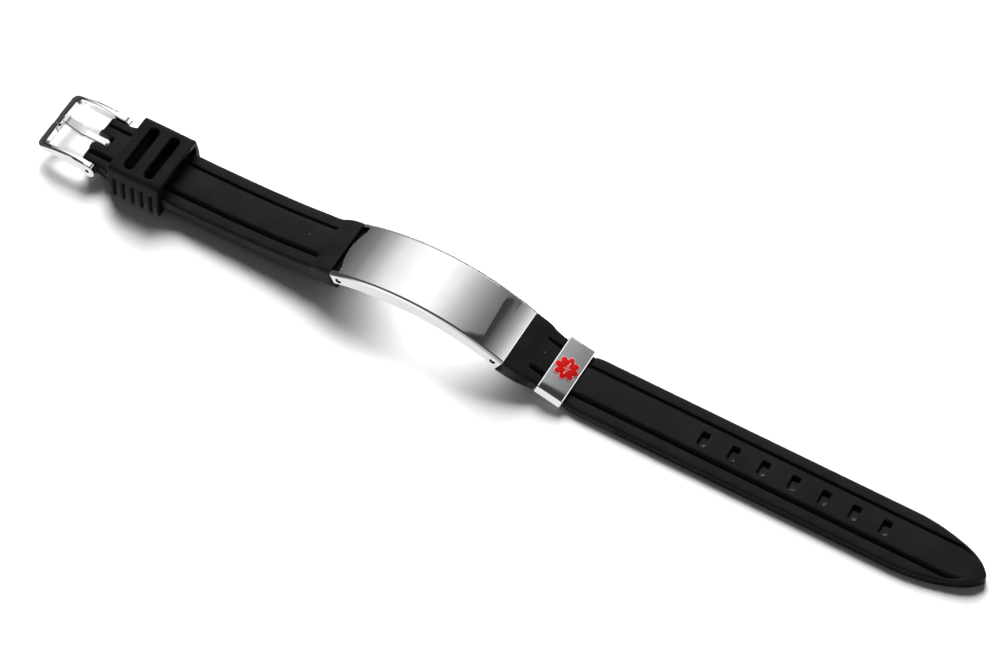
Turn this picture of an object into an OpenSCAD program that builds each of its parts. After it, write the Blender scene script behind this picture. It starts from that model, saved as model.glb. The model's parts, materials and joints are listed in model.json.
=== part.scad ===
// Medical alert bracelet, lying open on a table: a curved steel plate between two black silicone straps,
// with a buckle and a keeper on one strap, and a row of holes and a steel sleeve on the other.
// +X runs towards the strap's tip, +Y to the far side and +Z up. The origin is on the table, in the middle.

/* [Plate] */
// Width of the plate
plate_w = 15.1; // [13:0.1:18]
// Length of the plate along its curved top
plate_l = 43.5; // [38:0.5:50]
// Radius of the plate's curved top
plate_r = 49; // [42:1:60]
// Thickness of the plate's top
plate_t = 0.8; // [0.6:0.1:1]
// Thickness of the plate's side walls
plate_wall = 1.2; // [0.9:0.1:1.5]
// Height of the side walls at the middle of the plate
wall_mid_h = 3.7; // [3.4:0.1:4.5]
// Height of the side walls at the ends of the plate
wall_end_h = 2.9; // [2.7:0.1:3.3]
// Height of the plate's crown above the table
crown_z = 13; // [12:0.1:15]
// Lean of the plate towards the tail strap, in degrees
plate_lean = 3; // [0:0.5:5]
// Width of the bevels along the plate's long edges
plate_bevel = 0.5; // [0.2:0.1:0.7]
// Depth of the recess at the plate's buckle end, where the strap's knuckle shows
recess_l = 1.7; // [1:0.1:2.2]
// Crown of the plate's edge in that recess
recess_crown = 1.2; // [0.6:0.1:1.5]

/* [Plate pins] */
// Diameter of the pins
pin_d = 1.1; // [0.8:0.1:1.3]
// Depth of the pins below the plate's top
pin_depth = 1.9; // [1.7:0.05:2]
// Distance of the pins from the plate's ends
pin_inset = 1.7; // [1.3:0.1:2.2]

/* [Straps] */
// Width of both straps
strap_w = 14; // [13:0.1:16]
// Width of both straps where they meet the plate
block_w = 14.8; // [14:0.1:16]
// Distance of the long grooves from the middle of the strap
groove_y = 3.8; // [3:0.1:4.2]
// Width of the long grooves
groove_w = 1.3; // [0.8:0.1:1.6]
// Depth of the long grooves below the strap's margins
groove_depth = 0.5; // [0.3:0.05:0.7]
// Height of the middle panel above the strap's margins
panel_rise = 0.35; // [0.2:0.05:0.5]
// Rounding of the straps' upper edges
edge_r = 0.6; // [0.3:0.05:0.8]
// Rounding of the straps' lower edges
base_r = 0.3; // [0.15:0.05:0.4]
// Length by which the straps' tangs reach back from the plate's ends
tang_root = 2; // [1.5:0.1:2.5]

/* [Tail strap] */
// Thickness of the tail strap where it lies flat
tail_t = 2.5; // [2.2:0.1:3]
// Height of the tail strap's block at the plate
tail_block_h = 4.5; // [4:0.1:5]
// Distance from the plate to the first hole
first_hole = 43.7; // [38:0.5:50]
// Number of holes
hole_count = 7; // [4:1:8]
// Distance from hole to hole
hole_pitch = 7; // [6:0.5:8]
// Length of a hole along the strap
hole_l = 2; // [1.5:0.1:2.6]
// Width of a hole across the strap
hole_w = 3.4; // [2.6:0.1:4]
// Rounding of a hole's corners
hole_corner = 0.3; // [0.1:0.1:0.6]
// Distance from the last hole to the start of the taper
taper_gap = 4; // [3:0.5:8]
// Length of the tapered tip
tip_l = 18.8; // [14:0.2:24]

/* [Sleeve] */
// Length of the steel sleeve along the strap
sleeve_l = 6.3; // [5:0.1:8]
// Thickness of the strap where the sleeve presses it
waist_t = 2; // [1.8:0.1:2.4]
// How far the sleeve presses each edge of the strap in
waist_in = 0.3; // [0.1:0.05:0.5]
// Thickness of the sleeve's wall
sleeve_wall = 0.4; // [0.3:0.05:0.5]
// Rounding of the sleeve's corners
sleeve_corner = 0.3; // [0.1:0.05:0.35]
// Distance from the plate to the sleeve
sleeve_gap = 8.2; // [7:0.1:10]
// Slope of the sleeve and the strap in it, in degrees
sleeve_tilt = 17; // [14:0.5:20]
// Length over which the strap widens again past the sleeve
waist_flare = 2.5; // [1.5:0.1:4]

/* [Badge] */
// Diameter of the badge over its lobes
badge_d = 5.8; // [4.5:0.1:6]
// Thickness of the badge
badge_t = 0.25; // [0.2:0.05:0.4]
// Number of lobes round the badge
badge_lobes = 8; // [6:1:10]
// Radius of a lobe as a share of the badge's radius
lobe_share = 0.24; // [0.2:0.01:0.3]

/* [Buckle strap] */
// Distance from the plate to the spring bar
bar_reach = 61.1; // [56:0.5:70]
// Thickness of the buckle strap
buckle_strap_t = 3.7; // [3.4:0.1:4]
// Height of the spring bar above the strap's underside
bar_rise = 1.85; // [1.7:0.05:2.1]
// Length of the strap past the spring bar
strap_end_l = 2.9; // [2.6:0.1:3.2]
// Width of the strap between the buckle's arms
strap_end_w = 12.5; // [11.5:0.1:13]
// Distance from the spring bar to where the strap begins to narrow
shoulder_l = 5; // [4:0.1:5.4]

/* [Keeper] */
// Distance from the spring bar to the keeper
keeper_gap = 5.6; // [5.4:0.1:8]
// Length of the keeper along the strap
keeper_l = 12.8; // [12:0.1:13]
// Room in the keeper above the strap
keeper_room = 1.95; // [1.5:0.05:3]
// Thickness of the keeper's top and bottom
keeper_wall = 1.7; // [1.4:0.1:2]
// Thickness of the keeper's sides
keeper_side = 1.45; // [1.3:0.05:1.6]
// How far the keeper's sides lean in towards the top
keeper_slope_w = 0.9; // [0.5:0.1:1.1]
// Height over which they lean
keeper_slope_h = 5; // [3:0.1:6]
// Bevel along the keeper's bottom edges
keeper_foot = 0.3; // [0.1:0.1:0.6]
// Length of the slots in the keeper's top
keeper_slot_l = 12; // [10:0.2:13]
// Width of those slots
keeper_slot_w = 2.4; // [2:0.1:2.8]
// Distance between those slots
keeper_slot_pitch = 5.1; // [4.5:0.1:5.5]
// Number of grooves on each side of the keeper
flute_count = 5; // [3:1:5]
// Distance between the grooves
flute_pitch = 2.3; // [1.9:0.1:2.5]
// Radius of the grooves
flute_r = 0.55; // [0.4:0.05:0.65]

/* [Buckle] */
// Distance from the spring bar to the front of the frame
frame_l = 13.2; // [12:0.2:15]
// Width of the frame's arms
arm_w = 1.5; // [1.2:0.1:2]
// Width of the front bar
front_w = 2.4; // [2:0.1:3]
// Height of the front bar at its front edge
front_h = 0.5; // [0.4:0.05:0.8]
// Height of the arms' arched top above the spring bar's axis
crown_h = 2.25; // [2:0.05:2.5]
// Distance from the spring bar to the highest place of that arch
crown_reach = 5.2; // [4:0.2:6]
// Depth of the arms' straight underside below the spring bar's axis
under_h = 0.6; // [0.4:0.05:0.8]
// Rise of that underside towards the front, in degrees
under_rise = 3.7; // [2:0.1:4.5]
// Radius of the round lugs on the spring bar
lug_r = 1.75; // [1.6:0.05:2]
// Radius of the frame's outer front corners
corner_r = 1.6; // [1:0.1:2.4]
// Radius of the opening's front corners
window_r = 0.9; // [0.5:0.1:1.5]
// Depth of the notch that the tongue's tip rests in
notch_depth = 0.4; // [0.2:0.05:0.6]
// Slope of that notch towards the front, in degrees
notch_slope = 17; // [12:0.5:20]

/* [Spring bar and tongue] */
// Diameter of the spring bar
bar_d = 1.3; // [1:0.1:1.4]
// Diameter of the spring bar's tips
bar_tip_d = 0.8; // [0.6:0.1:0.9]
// Distance of the bar's tips from the outside of the lugs
bar_tip_inset = 0.3; // [0.1:0.1:0.6]
// Wall of the tongue's eye around the bar
eye_wall = 0.4; // [0.35:0.05:0.5]
// Width of the tongue at the tip
tongue_w = 2.4; // [2:0.1:2.6]
// Width of the tongue at the bar
shank_w = 2; // [1.6:0.1:2.2]
// Thickness of the tongue at the tip
tongue_t = 1; // [0.8:0.05:1.2]
// Thickness of the tongue at the bar
shank_t = 0.8; // [0.6:0.05:0.9]
// Distance from the bar to the tongue's step
step_x = 5.3; // [4:0.1:6.5]
// Height of that step above the eye
step_rise = 0.2; // [0.1:0.05:0.3]
// Height of the tongue's bend above the spring bar's axis
bend_h = 3; // [2.6:0.1:3.4]
// Distance of the bend behind the front bar
bend_gap = 0.5; // [0.2:0.1:1]
// Distance of the tongue's tip from the front of the frame
tongue_inset = 0.7; // [0.4:0.1:1.2]

/* [Fits] */
// Clearance between pieces that turn on each other
turn_gap = 0.05; // [0.02:0.01:0.1]
// Clearance between pieces that only touch
seat_gap = 0.05; // [0.03:0.01:0.1]
// Clearance at the sides of pieces that fit between walls
side_gap = 0.15; // [0.1:0.05:0.2]
// Clearance on each side of the tongue in the strap's slot
slot_gap = 0.5; // [0.3:0.05:0.7]
// Clearance behind the tongue's eye in the strap's slot
eye_gap = 0.2; // [0.15:0.05:0.4]
// Layer of glue under the badge
glue_gap = 0.02; // [0.01:0.01:0.05]
// Reach of each cutting shape past the sides of the piece that it cuts
over_cut = 1; // [0.5:0.5:2]

/* [Hidden] */
$fn = 96;
steel = "#c9ccd0";
silicone = "#222224";
enamel = "#d2150f";

// The plate's arc: its centre lies under the crown, and its ends lie at these angles from upright
arc_z = crown_z - plate_r;
function arc_angle(along) = along / plate_r * 180 / PI;
half_angle = arc_angle(plate_l / 2);
tail_angle = plate_lean + half_angle;
buckle_angle = plate_lean - half_angle;
pin_angle = arc_angle(pin_inset);
function on_arc(r, a) = [r * sin(a), arc_z + r * cos(a)];
tail_end = on_arc(plate_r, tail_angle);
buckle_end = on_arc(plate_r, buckle_angle);
tail_pin = on_arc(plate_r - pin_depth, tail_angle - pin_angle);
buckle_pin = on_arc(plate_r - pin_depth, buckle_angle + pin_angle);

// Lower edge of the side walls: an arc through the wall's height at mid length and at the ends
low_mid = plate_r - wall_mid_h;
low_end = plate_r - wall_end_h;
low_drop = (low_end ^ 2 - low_mid ^ 2) / 2 / (low_mid - low_end * cos(half_angle));
channel_w = plate_w - 2 * plate_wall;
tang_w = channel_w - 2 * side_gap;
tang_top = pin_depth - plate_t - side_gap;
tang_low = tail_block_h - pin_depth - edge_r;
wall_drawn = 2 * wall_mid_h;

// The sleeve lies with its lower corner on the table, and the strap in it is pressed to a waist
sleeve_lift = seat_gap;
sleeve_h = waist_t + 2 * (sleeve_wall + seat_gap);
waist_w = strap_w - 2 * waist_in;
sleeve_w = waist_w + 2 * (sleeve_wall + side_gap);
sleeve_x = tail_end[0] + sleeve_gap + sleeve_l * cos(sleeve_tilt) - sleeve_h * sin(sleeve_tilt);
function in_sleeve(along, up) =
  [sleeve_x + along * cos(sleeve_tilt) + up * sin(sleeve_tilt),
   sleeve_lift - along * sin(sleeve_tilt) + up * cos(sleeve_tilt)];
function sleeve_line(x, up) = let (p = in_sleeve(0, up)) p[1] - (x - p[0]) * tan(sleeve_tilt);
waist_low = sleeve_wall + seat_gap;
waist_high = waist_low + waist_t;
waist_x0 = in_sleeve(-sleeve_l, 0)[0] - side_gap;
waist_x1 = in_sleeve(0, sleeve_h)[0] + side_gap;

// Places along the tail strap
function hole_x(i) = tail_end[0] + first_hole + i * hole_pitch;
taper_x = hole_x(hole_count - 1) + taper_gap;
tip_last = 0.995;
tip_x = taper_x + tip_last * tip_l;

// Places along the buckle strap, which lies on the keeper's bottom wall
strap_z = keeper_wall + seat_gap;
bar = [buckle_end[0] - bar_reach, strap_z + bar_rise];
bar_r = bar_d / 2;
eye_r = bar_r + turn_gap + eye_wall;
slot_w = shank_w + 2 * slot_gap;
slot_reach = eye_r + eye_gap;
keeper_x = bar[0] + keeper_gap;
keeper_w = strap_w + 2 * (keeper_side + side_gap);
keeper_h = 2 * keeper_wall + seat_gap + buckle_strap_t + keeper_room;

// The frame: its width, its front edge, and the arch that runs over its arms and down to that edge
window_w = strap_end_w + 2 * side_gap;
frame_w = window_w + 2 * arm_w;
front_x = bar[0] - frame_l;
function under_z(x) = -under_h - x * tan(under_rise);
arch_drop = crown_h - under_z(-frame_l) - front_h;
arch_r = ((frame_l - crown_reach) ^ 2 + arch_drop ^ 2) / 2 / arch_drop;
arch_c = [-crown_reach, crown_h - arch_r];
function arch_z(x) = arch_c[1] + sqrt(arch_r ^ 2 - (x - arch_c[0]) ^ 2);
notch_x = front_w - frame_l;
function notch_z(x) = arch_z(notch_x) - notch_depth + (x - notch_x) * tan(notch_slope);

// Half of the whole bracelet's length, which puts the origin in its middle
shift_x = -(front_x + tip_x) / 2;

// Sections of the tail strap's block between plate and sleeve, from the plate on. The columns are the
// share of the way, the share of the fall, the share of the block's height, the share of the block's
// width and the share of the grooves' relief.
tail_block = [
  [-0.45, -0.45, 1.08, 1.00, 0],
  [0.00, 0.00, 1.00, 1.00, 0],
  [0.30, 0.29, 0.97, 0.99, 0],
  [0.46, 0.45, 0.93, 0.98, 0],
  [0.60, 0.60, 0.87, 0.955, 0],
  [0.66, 0.66, 0.84, 0.945, 1],
  [0.94, 0.94, 0.72, 0.91, 1],
];

// Sections of the strap where it widens again past the sleeve: the share of that length, the share of
// the strap's thickness and the share of its width
tail_flare = [
  [0.25, 0.975, 0.98],
  [1.00, 1.000, 1.00],
];

// Sections of the buckle strap, from the plate to the bar. The columns are the share of the way, the
// share of the rise, the share of the strap's thickness, the share of its width and the share of the
// grooves' relief. The width goes from the block's at 1 to the strap's at 0.
buckle_run = [
  [-0.060, 1.36, 1.50, 1.0, 0],
  [0.000, 1.00, 1.34, 1.0, 0],
  [0.022, 0.95, 1.36, 1.0, 0],
  [0.040, 0.89, 1.36, 0.8, 0],
  [0.058, 0.80, 1.34, 0.5, 0],
  [0.075, 0.70, 1.32, 0.2, 0],
  [0.084, 0.66, 1.30, 0.1, 1],
  [0.110, 0.58, 1.28, 0.0, 1],
  [0.150, 0.50, 1.27, 0.0, 1],
  [0.200, 0.39, 1.24, 0.0, 1],
  [0.260, 0.28, 1.19, 0.0, 1],
  [0.320, 0.20, 1.14, 0.0, 1],
  [0.390, 0.13, 1.10, 0.0, 1],
  [0.470, 0.07, 1.05, 0.0, 1],
  [0.560, 0.03, 1.02, 0.0, 1],
  [0.640, 0.00, 1.00, 0.0, 1],
];

// Sections of the strap's end, which lies between the buckle's arms and reaches furthest beside the
// tongue: the share of the end's length past the bar, the share of the strap's thickness, the share of
// the end's width and the share of the grooves' relief
strap_end = [
  [-0.75, 1.00, 1.00, 1],
  [0.00, 1.00, 1.00, 1],
  [0.50, 0.97, 1.00, 1],
  [0.64, 0.92, 0.99, 0],
  [0.77, 0.80, 0.97, 0],
  [0.80, 0.77, 0.43, 0],
  [0.92, 0.66, 0.42, 0],
  [1.00, 0.42, 0.40, 0],
];

// Shape of the tapered tip: its width as a share of the strap's at a share of its length, and the
// shares between which the grooves fade and the top rounds off
function tip_width(t) = (1 - t ^ 1.9) ^ 0.62;
tip_steps = 11;
tip_fade = 0.55;
tip_smooth = 0.85;

// Points of one section across a strap, from its place, top, bottom, width and relief
function half_section(top, bottom, half, relief) =
  let (
    margin = top - relief * panel_rise,
    ground = margin - relief * groove_depth,
    edge = min(edge_r, half / 2),
    base = min(base_r, half / 3),
    room = min(1, (half - edge) / (groove_y + groove_w / 2)),
    lip = room * (groove_y + groove_w / 2),
    foot = room * (groove_y + groove_w / 5),
    panel = room * (groove_y - groove_w / 2))
  [[half - base, bottom],
   [half - base * 0.3, bottom + base * 0.3],
   [half, bottom + base],
   [half, margin - edge],
   [half - edge * 0.13, margin - edge * 0.5],
   [half - edge * 0.5, margin - edge * 0.13],
   [half - edge, margin],
   [lip, margin],
   [foot, ground],
   [panel, top]];
function section(x, top, bottom, width, relief) =
  let (
    side = half_section(top, bottom, width / 2, relief),
    last = len(side) - 1)
  concat([for (p = side) [x, p[0], p[1]]], [for (i = [last:-1:0]) [x, -side[i][0], side[i][1]]]);

// A solid through sections that each have the same number of points
module loft(sections) {
  ring = len(sections[0]);
  last = len(sections) - 1;
  polyhedron(
    points = [for (s = sections) each s],
    faces = concat(
      [[for (j = [0:ring - 1]) j]],
      [for (i = [0:last - 1]) for (j = [0:ring - 1])
        [i * ring + j, (i + 1) * ring + j, (i + 1) * ring + (j + 1) % ring, i * ring + (j + 1) % ring]],
      [[for (j = [ring - 1:-1:0]) last * ring + j]]),
    convexity = 6);
}

// A rectangle with round corners
module round_rect(l, w, r) {
  square([l - 2 * r, w], center = true);
  square([l, w - 2 * r], center = true);
  for (x = [-1, 1], y = [-1, 1])
    translate([x * (l / 2 - r), y * (w / 2 - r)]) circle(r);
}

// A slot with half-round ends that runs across the strap
module slot(l, w) {
  square([w, l - w], center = true);
  for (y = [-1, 1])
    translate([0, y * (l - w) / 2]) circle(w / 2);
}

// Extrudes an outline drawn in X and Z across the strap, centred on the middle
module across(w) {
  translate([0, w / 2, 0]) rotate([90, 0, 0]) linear_extrude(w) children();
}

// A round bar across the strap
module cross_bar(r, w) {
  translate([0, w / 2, 0]) rotate([90, 0, 0]) cylinder(r = r, h = w);
}

// Puts a shape on the plate's arc: its own X runs along the arc towards the tail
module at_arc(r, a) {
  p = on_arc(r, a);
  translate([p[0], 0, p[1]]) rotate([0, a, 0]) children();
}

module id_plate() {
  color(steel) translate([shift_x, 0, 0]) difference() {
    translate([0, 0, arc_z]) rotate([0, buckle_angle, 0]) rotate([90, -90, 0])
      rotate([0, 0, -2 * half_angle]) rotate_extrude(angle = 2 * half_angle) plate_section();
    translate([0, 0, arc_z]) rotate([0, plate_lean, 0]) translate([0, 0, -low_drop])
      cross_bar(low_mid + low_drop, plate_w + 2 * over_cut);
    for (p = [tail_pin, buckle_pin])
      translate([p[0], 0, p[1]]) cross_bar(pin_d / 2 + turn_gap, plate_w + 2 * over_cut);
    recess();
  }
}

// Section through the plate as drawn from the arc's centre: bevelled outside, with an open channel below
module plate_section() {
  half = plate_w / 2;
  inner = channel_w / 2;
  low = plate_r - wall_drawn;
  ceiling = plate_r - plate_t;
  polygon([
    [low, -half], [plate_r - plate_bevel, -half], [plate_r, plate_bevel - half],
    [plate_r, half - plate_bevel], [plate_r - plate_bevel, half], [low, half],
    [low, inner], [ceiling, inner], [ceiling, -inner], [low, -inner]]);
}

// Cut at the buckle end, a little wider than the channel, which leaves a crowned edge
module recess() {
  half_w = channel_w / 2 + side_gap;
  edge_x = buckle_end[0] + recess_l - recess_crown;
  crown_r = (half_w ^ 2 + recess_crown ^ 2) / 2 / recess_crown;
  difference() {
    translate([buckle_end[0] - wall_mid_h, -half_w, buckle_end[1] - wall_mid_h])
      cube([wall_mid_h + 2 * recess_l, 2 * half_w, 2 * wall_mid_h]);
    translate([edge_x + crown_r, 0, 0]) cylinder(r = crown_r, h = 2 * crown_z, $fn = 192);
  }
}

module plate_pin(p) {
  color(steel) translate([shift_x + p[0], 0, p[1]]) cross_bar(pin_d / 2, plate_w - 2 * seat_gap);
}

module plate_pin_buckle() {
  plate_pin(buckle_pin);
}

module plate_pin_tail() {
  plate_pin(tail_pin);
}

// The strap's tongue inside the plate's channel, round its pin. side is 1 at the tail end, -1 at the other.
module tang(a, side) {
  reach = pin_inset + tang_root;
  at_arc(plate_r - pin_depth, a) difference() {
    union() {
      cross_bar(tang_top, tang_w);
      across(tang_w) translate([side > 0 ? 0 : -reach, -tang_low]) square([reach, tang_low + tang_top]);
    }
    cross_bar(pin_d / 2 + seat_gap, tang_w + 2 * over_cut);
  }
}

// Everything on the plate's side of the plate's end, less a narrow gap
module plate_side(a, side) {
  size = block_w;
  at_arc(plate_r, a) translate([side > 0 ? side_gap - size : -side_gap, -size, -size])
    cube([size, 2 * size, 2 * size]);
}

function tail_block_section(row) =
  let (
    top = tail_end[1] + row[1] * (sleeve_line(waist_x0, waist_high) - tail_end[1]),
    x = tail_end[0] + row[0] * (waist_x0 - tail_end[0]))
  section(x, top, top - row[2] * tail_block_h, row[3] * block_w, row[4]);

function tip_section(t) =
  let (
    rounding = edge_r * max(0, (t - tip_smooth) / (1 - tip_smooth)) ^ 2,
    relief = 1 - max(0, min(1, (t - tip_fade) / (tip_smooth - tip_fade))))
  section(taper_x + t * tip_l, tail_t - rounding, 0, strap_w * tip_width(t), relief);

module tail_strap() {
  sections = concat(
    [for (row = tail_block) tail_block_section(row)],
    [for (x = [waist_x0, waist_x1])
      section(x, sleeve_line(x, waist_high), sleeve_line(x, waist_low), waist_w, 1)],
    [for (row = tail_flare)
      section(waist_x1 + row[0] * waist_flare, row[1] * tail_t, 0, row[2] * strap_w, 1)],
    [for (i = [0:tip_steps]) tip_section(tip_last * sin(90 * i / tip_steps))]);
  color(silicone) translate([shift_x, 0, 0]) {
    difference() {
      loft(sections);
      plate_side(tail_angle, 1);
      for (i = [0:hole_count - 1])
        translate([hole_x(i), 0, -tail_t]) linear_extrude(3 * tail_t)
          round_rect(hole_l, hole_w, hole_corner);
    }
    tang(tail_angle - pin_angle, 1);
  }
}

function buckle_run_section(row) =
  let (
    flat = strap_z + buckle_strap_t,
    top = flat + row[1] * (buckle_end[1] - flat),
    width = strap_w + row[3] * (block_w - strap_w))
  section(buckle_end[0] - row[0] * bar_reach, top, top - row[2] * buckle_strap_t, width, row[4]);

function strap_end_section(row) =
  let (
    middle = strap_z + buckle_strap_t / 2,
    half_t = row[1] * buckle_strap_t / 2)
  section(bar[0] - row[0] * strap_end_l, middle + half_t, middle - half_t, row[2] * strap_end_w, row[3]);

module buckle_strap() {
  rows = concat(
    [for (row = buckle_run) buckle_run_section(row)],
    [section(bar[0] + shoulder_l, strap_z + buckle_strap_t, strap_z, strap_w, 1)],
    [for (row = strap_end) strap_end_section(row)]);
  last = len(rows) - 1;
  color(silicone) translate([shift_x, 0, 0]) {
    difference() {
      loft([for (i = [last:-1:0]) rows[i]]);
      plate_side(buckle_angle, -1);
      translate([bar[0], 0, bar[1]]) cross_bar(bar_r + seat_gap, strap_w);
      translate([bar[0] - 2 * strap_end_l, -slot_w / 2, 0])
        cube([2 * strap_end_l + slot_reach, slot_w, strap_z + 2 * buckle_strap_t]);
    }
    tang(buckle_angle + pin_angle, -1);
  }
}

// Outline of the keeper's wall, drawn in Y and Z
module keeper_section() {
  half = keeper_w / 2;
  top = half - keeper_slope_w;
  foot = half - keeper_foot;
  side_top = keeper_h - keeper_slope_h;
  difference() {
    polygon([
      [-foot, 0], [foot, 0], [half, keeper_foot], [half, side_top], [top, keeper_h],
      [-top, keeper_h], [-half, side_top], [-half, keeper_foot]]);
    translate([keeper_side - half, keeper_wall])
      square([keeper_w - 2 * keeper_side, keeper_h - 2 * keeper_wall]);
  }
}

module keeper_loop() {
  middle = keeper_x + keeper_l / 2;
  flute_top = keeper_h - keeper_slope_h / 2 - flute_r;
  color(silicone) translate([shift_x, 0, 0]) difference() {
    translate([keeper_x, 0, 0]) rotate([90, 0, 90]) linear_extrude(keeper_l) keeper_section();
    for (side = [-1, 1])
      translate([middle + side * keeper_slot_pitch / 2, 0, keeper_h - 1.5 * keeper_wall])
        linear_extrude(2 * keeper_wall) slot(keeper_slot_l, keeper_slot_w);
    for (side = [-1, 1], i = [0:flute_count - 1])
      translate([middle + (i - (flute_count - 1) / 2) * flute_pitch, side * keeper_w / 2, 0]) {
        translate([0, 0, flute_top - keeper_h]) cylinder(r = flute_r, h = keeper_h);
        translate([0, 0, flute_top]) sphere(flute_r);
      }
  }
}

module slider_sleeve() {
  color(steel) translate([shift_x + sleeve_x, 0, sleeve_lift]) rotate([0, sleeve_tilt, 0])
    translate([-sleeve_l, 0, sleeve_h / 2]) rotate([90, 0, 90]) linear_extrude(sleeve_l) difference() {
      round_rect(sleeve_w, sleeve_h, sleeve_corner);
      square([sleeve_w - 2 * sleeve_wall, sleeve_h - 2 * sleeve_wall], center = true);
    }
}

// A rosette of round lobes on the sleeve's top
module enamel_badge() {
  lobe_r = lobe_share * badge_d / 2;
  ring_r = badge_d / 2 - lobe_r;
  color(enamel) translate([shift_x + sleeve_x, 0, sleeve_lift]) rotate([0, sleeve_tilt, 0])
    translate([-sleeve_l / 2, 0, sleeve_h + glue_gap]) linear_extrude(badge_t) {
      circle(ring_r);
      for (i = [0:badge_lobes - 1])
        rotate(i * 360 / badge_lobes) translate([ring_r, 0]) circle(lobe_r, $fn = 32);
    }
}

module spring_bar() {
  color(steel) translate([shift_x + bar[0], 0, bar[1]]) {
    cross_bar(bar_r, window_w - 2 * seat_gap);
    cross_bar(bar_tip_d / 2, frame_w - 2 * bar_tip_inset);
  }
}

// Side view of the frame, with the spring bar at its origin
module frame_side() {
  intersection() {
    translate(arch_c) circle(arch_r, $fn = 256);
    polygon([
      [-frame_l, under_z(-frame_l)], [0, under_z(0)], [0, 2 * crown_h], [-frame_l, 2 * crown_h]]);
  }
  circle(lug_r);
}

// Top view of the frame: a round-cornered outline, open at the lugs
module frame_plan() {
  long = 2 * frame_l;
  difference() {
    translate([long / 2 - frame_l, 0]) round_rect(long, frame_w, corner_r);
    translate([long / 2 - frame_l + front_w, 0]) round_rect(long, window_w, window_r);
  }
}

module buckle_frame() {
  notch_w = tongue_w + 2 * side_gap;
  color(steel) translate([shift_x + bar[0], 0, bar[1]]) difference() {
    intersection() {
      across(frame_w + 2 * over_cut) frame_side();
      translate([0, 0, -frame_l]) linear_extrude(2 * frame_l) frame_plan();
    }
    cross_bar(bar_tip_d / 2 + turn_gap, frame_w + 2 * over_cut);
    translate([notch_x, -notch_w / 2, notch_z(notch_x)]) rotate([0, -notch_slope, 0])
      translate([-2 * front_w, 0, 0]) cube([3 * front_w, notch_w, crown_h]);
  }
}

// Side view of the tongue's narrow end, with the spring bar at its origin
module tongue_shank() {
  step_h = eye_r + step_rise;
  difference() {
    union() {
      circle(eye_r);
      polygon([
        [0, eye_r], [-step_x, step_h], [-step_x, step_h - shank_t], [-eye_r, eye_r - shank_t], [0, 0]]);
    }
    circle(bar_r + turn_gap);
  }
}

// Side view of its wide end, which rises to a bend and falls into the frame's notch
module tongue_tip() {
  step_h = eye_r + step_rise;
  bend_x = notch_x + bend_gap;
  tip_x = tongue_inset - frame_l;
  polygon([
    [-step_x, step_h], [bend_x, bend_h], [tip_x, notch_z(tip_x) + seat_gap + tongue_t],
    [tip_x, notch_z(tip_x) + seat_gap], [notch_x, notch_z(notch_x) + seat_gap],
    [bend_x, bend_h - tongue_t], [-step_x, step_h - shank_t]]);
}

module buckle_tongue() {
  color(steel) translate([shift_x + bar[0], 0, bar[1]]) {
    across(shank_w) tongue_shank();
    across(tongue_w) tongue_tip();
  }
}

id_plate();
plate_pin_buckle();
plate_pin_tail();
buckle_strap();
tail_strap();
keeper_loop();
slider_sleeve();
enamel_badge();
spring_bar();
buckle_frame();
buckle_tongue();
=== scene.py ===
import json
from math import copysign, cos, degrees, hypot, pi, radians, sin, sqrt, tan

import bmesh
import bpy
import numpy as np
from mathutils import Matrix, Vector


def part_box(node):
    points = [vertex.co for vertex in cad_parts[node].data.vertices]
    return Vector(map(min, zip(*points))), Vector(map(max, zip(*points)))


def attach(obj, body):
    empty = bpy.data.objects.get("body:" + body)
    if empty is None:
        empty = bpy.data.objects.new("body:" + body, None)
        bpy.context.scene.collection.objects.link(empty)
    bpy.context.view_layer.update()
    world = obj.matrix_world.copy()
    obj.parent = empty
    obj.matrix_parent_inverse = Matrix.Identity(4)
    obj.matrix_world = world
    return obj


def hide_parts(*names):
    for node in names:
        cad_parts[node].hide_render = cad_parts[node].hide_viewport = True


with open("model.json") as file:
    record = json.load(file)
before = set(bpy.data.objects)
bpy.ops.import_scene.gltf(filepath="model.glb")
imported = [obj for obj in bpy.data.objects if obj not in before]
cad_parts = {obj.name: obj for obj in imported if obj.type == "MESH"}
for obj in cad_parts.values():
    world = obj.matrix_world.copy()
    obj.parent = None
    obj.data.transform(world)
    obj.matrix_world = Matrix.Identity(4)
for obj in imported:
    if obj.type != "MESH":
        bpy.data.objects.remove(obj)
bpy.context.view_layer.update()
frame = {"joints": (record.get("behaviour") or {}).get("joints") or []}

# Sizes are in millimetres in the bracelet's own frame, and meshes are written in metres
MM = 0.001

# The plate's arc and what hangs on its two ends
plate_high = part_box("id_plate")[1] / MM
plate_w = 15.1
plate_r = 49
plate_t = 0.8
plate_wall = 1.2
wall_mid_h = 3.7
wall_end_h = 2.9
plate_l = 43.5
plate_lean = 3
plate_bevel = 0.5
plate_end_r = 0.1
recess_l = 1.87
recess_crown = 1.17
recess_shoulder = 5.1
recess_mouth = 0.1
pin_r = 0.55
pin_depth = 1.9
pin_inset = 1.7
pin_sunk = 0.2
pin_dome = 0.22
sink_w = 0.1
sink_depth = 0.12
half_angle = degrees(plate_l / 2 / plate_r)
tail_angle = plate_lean + half_angle
buckle_angle = plate_lean - half_angle
pin_angle = degrees(pin_inset / plate_r)
arc_x = plate_high.x - plate_r * sin(radians(tail_angle))
arc_z = plate_high.z - plate_r
arc_centre = Vector((arc_x, 0, arc_z))
channel_w = plate_w - 2 * plate_wall

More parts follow.
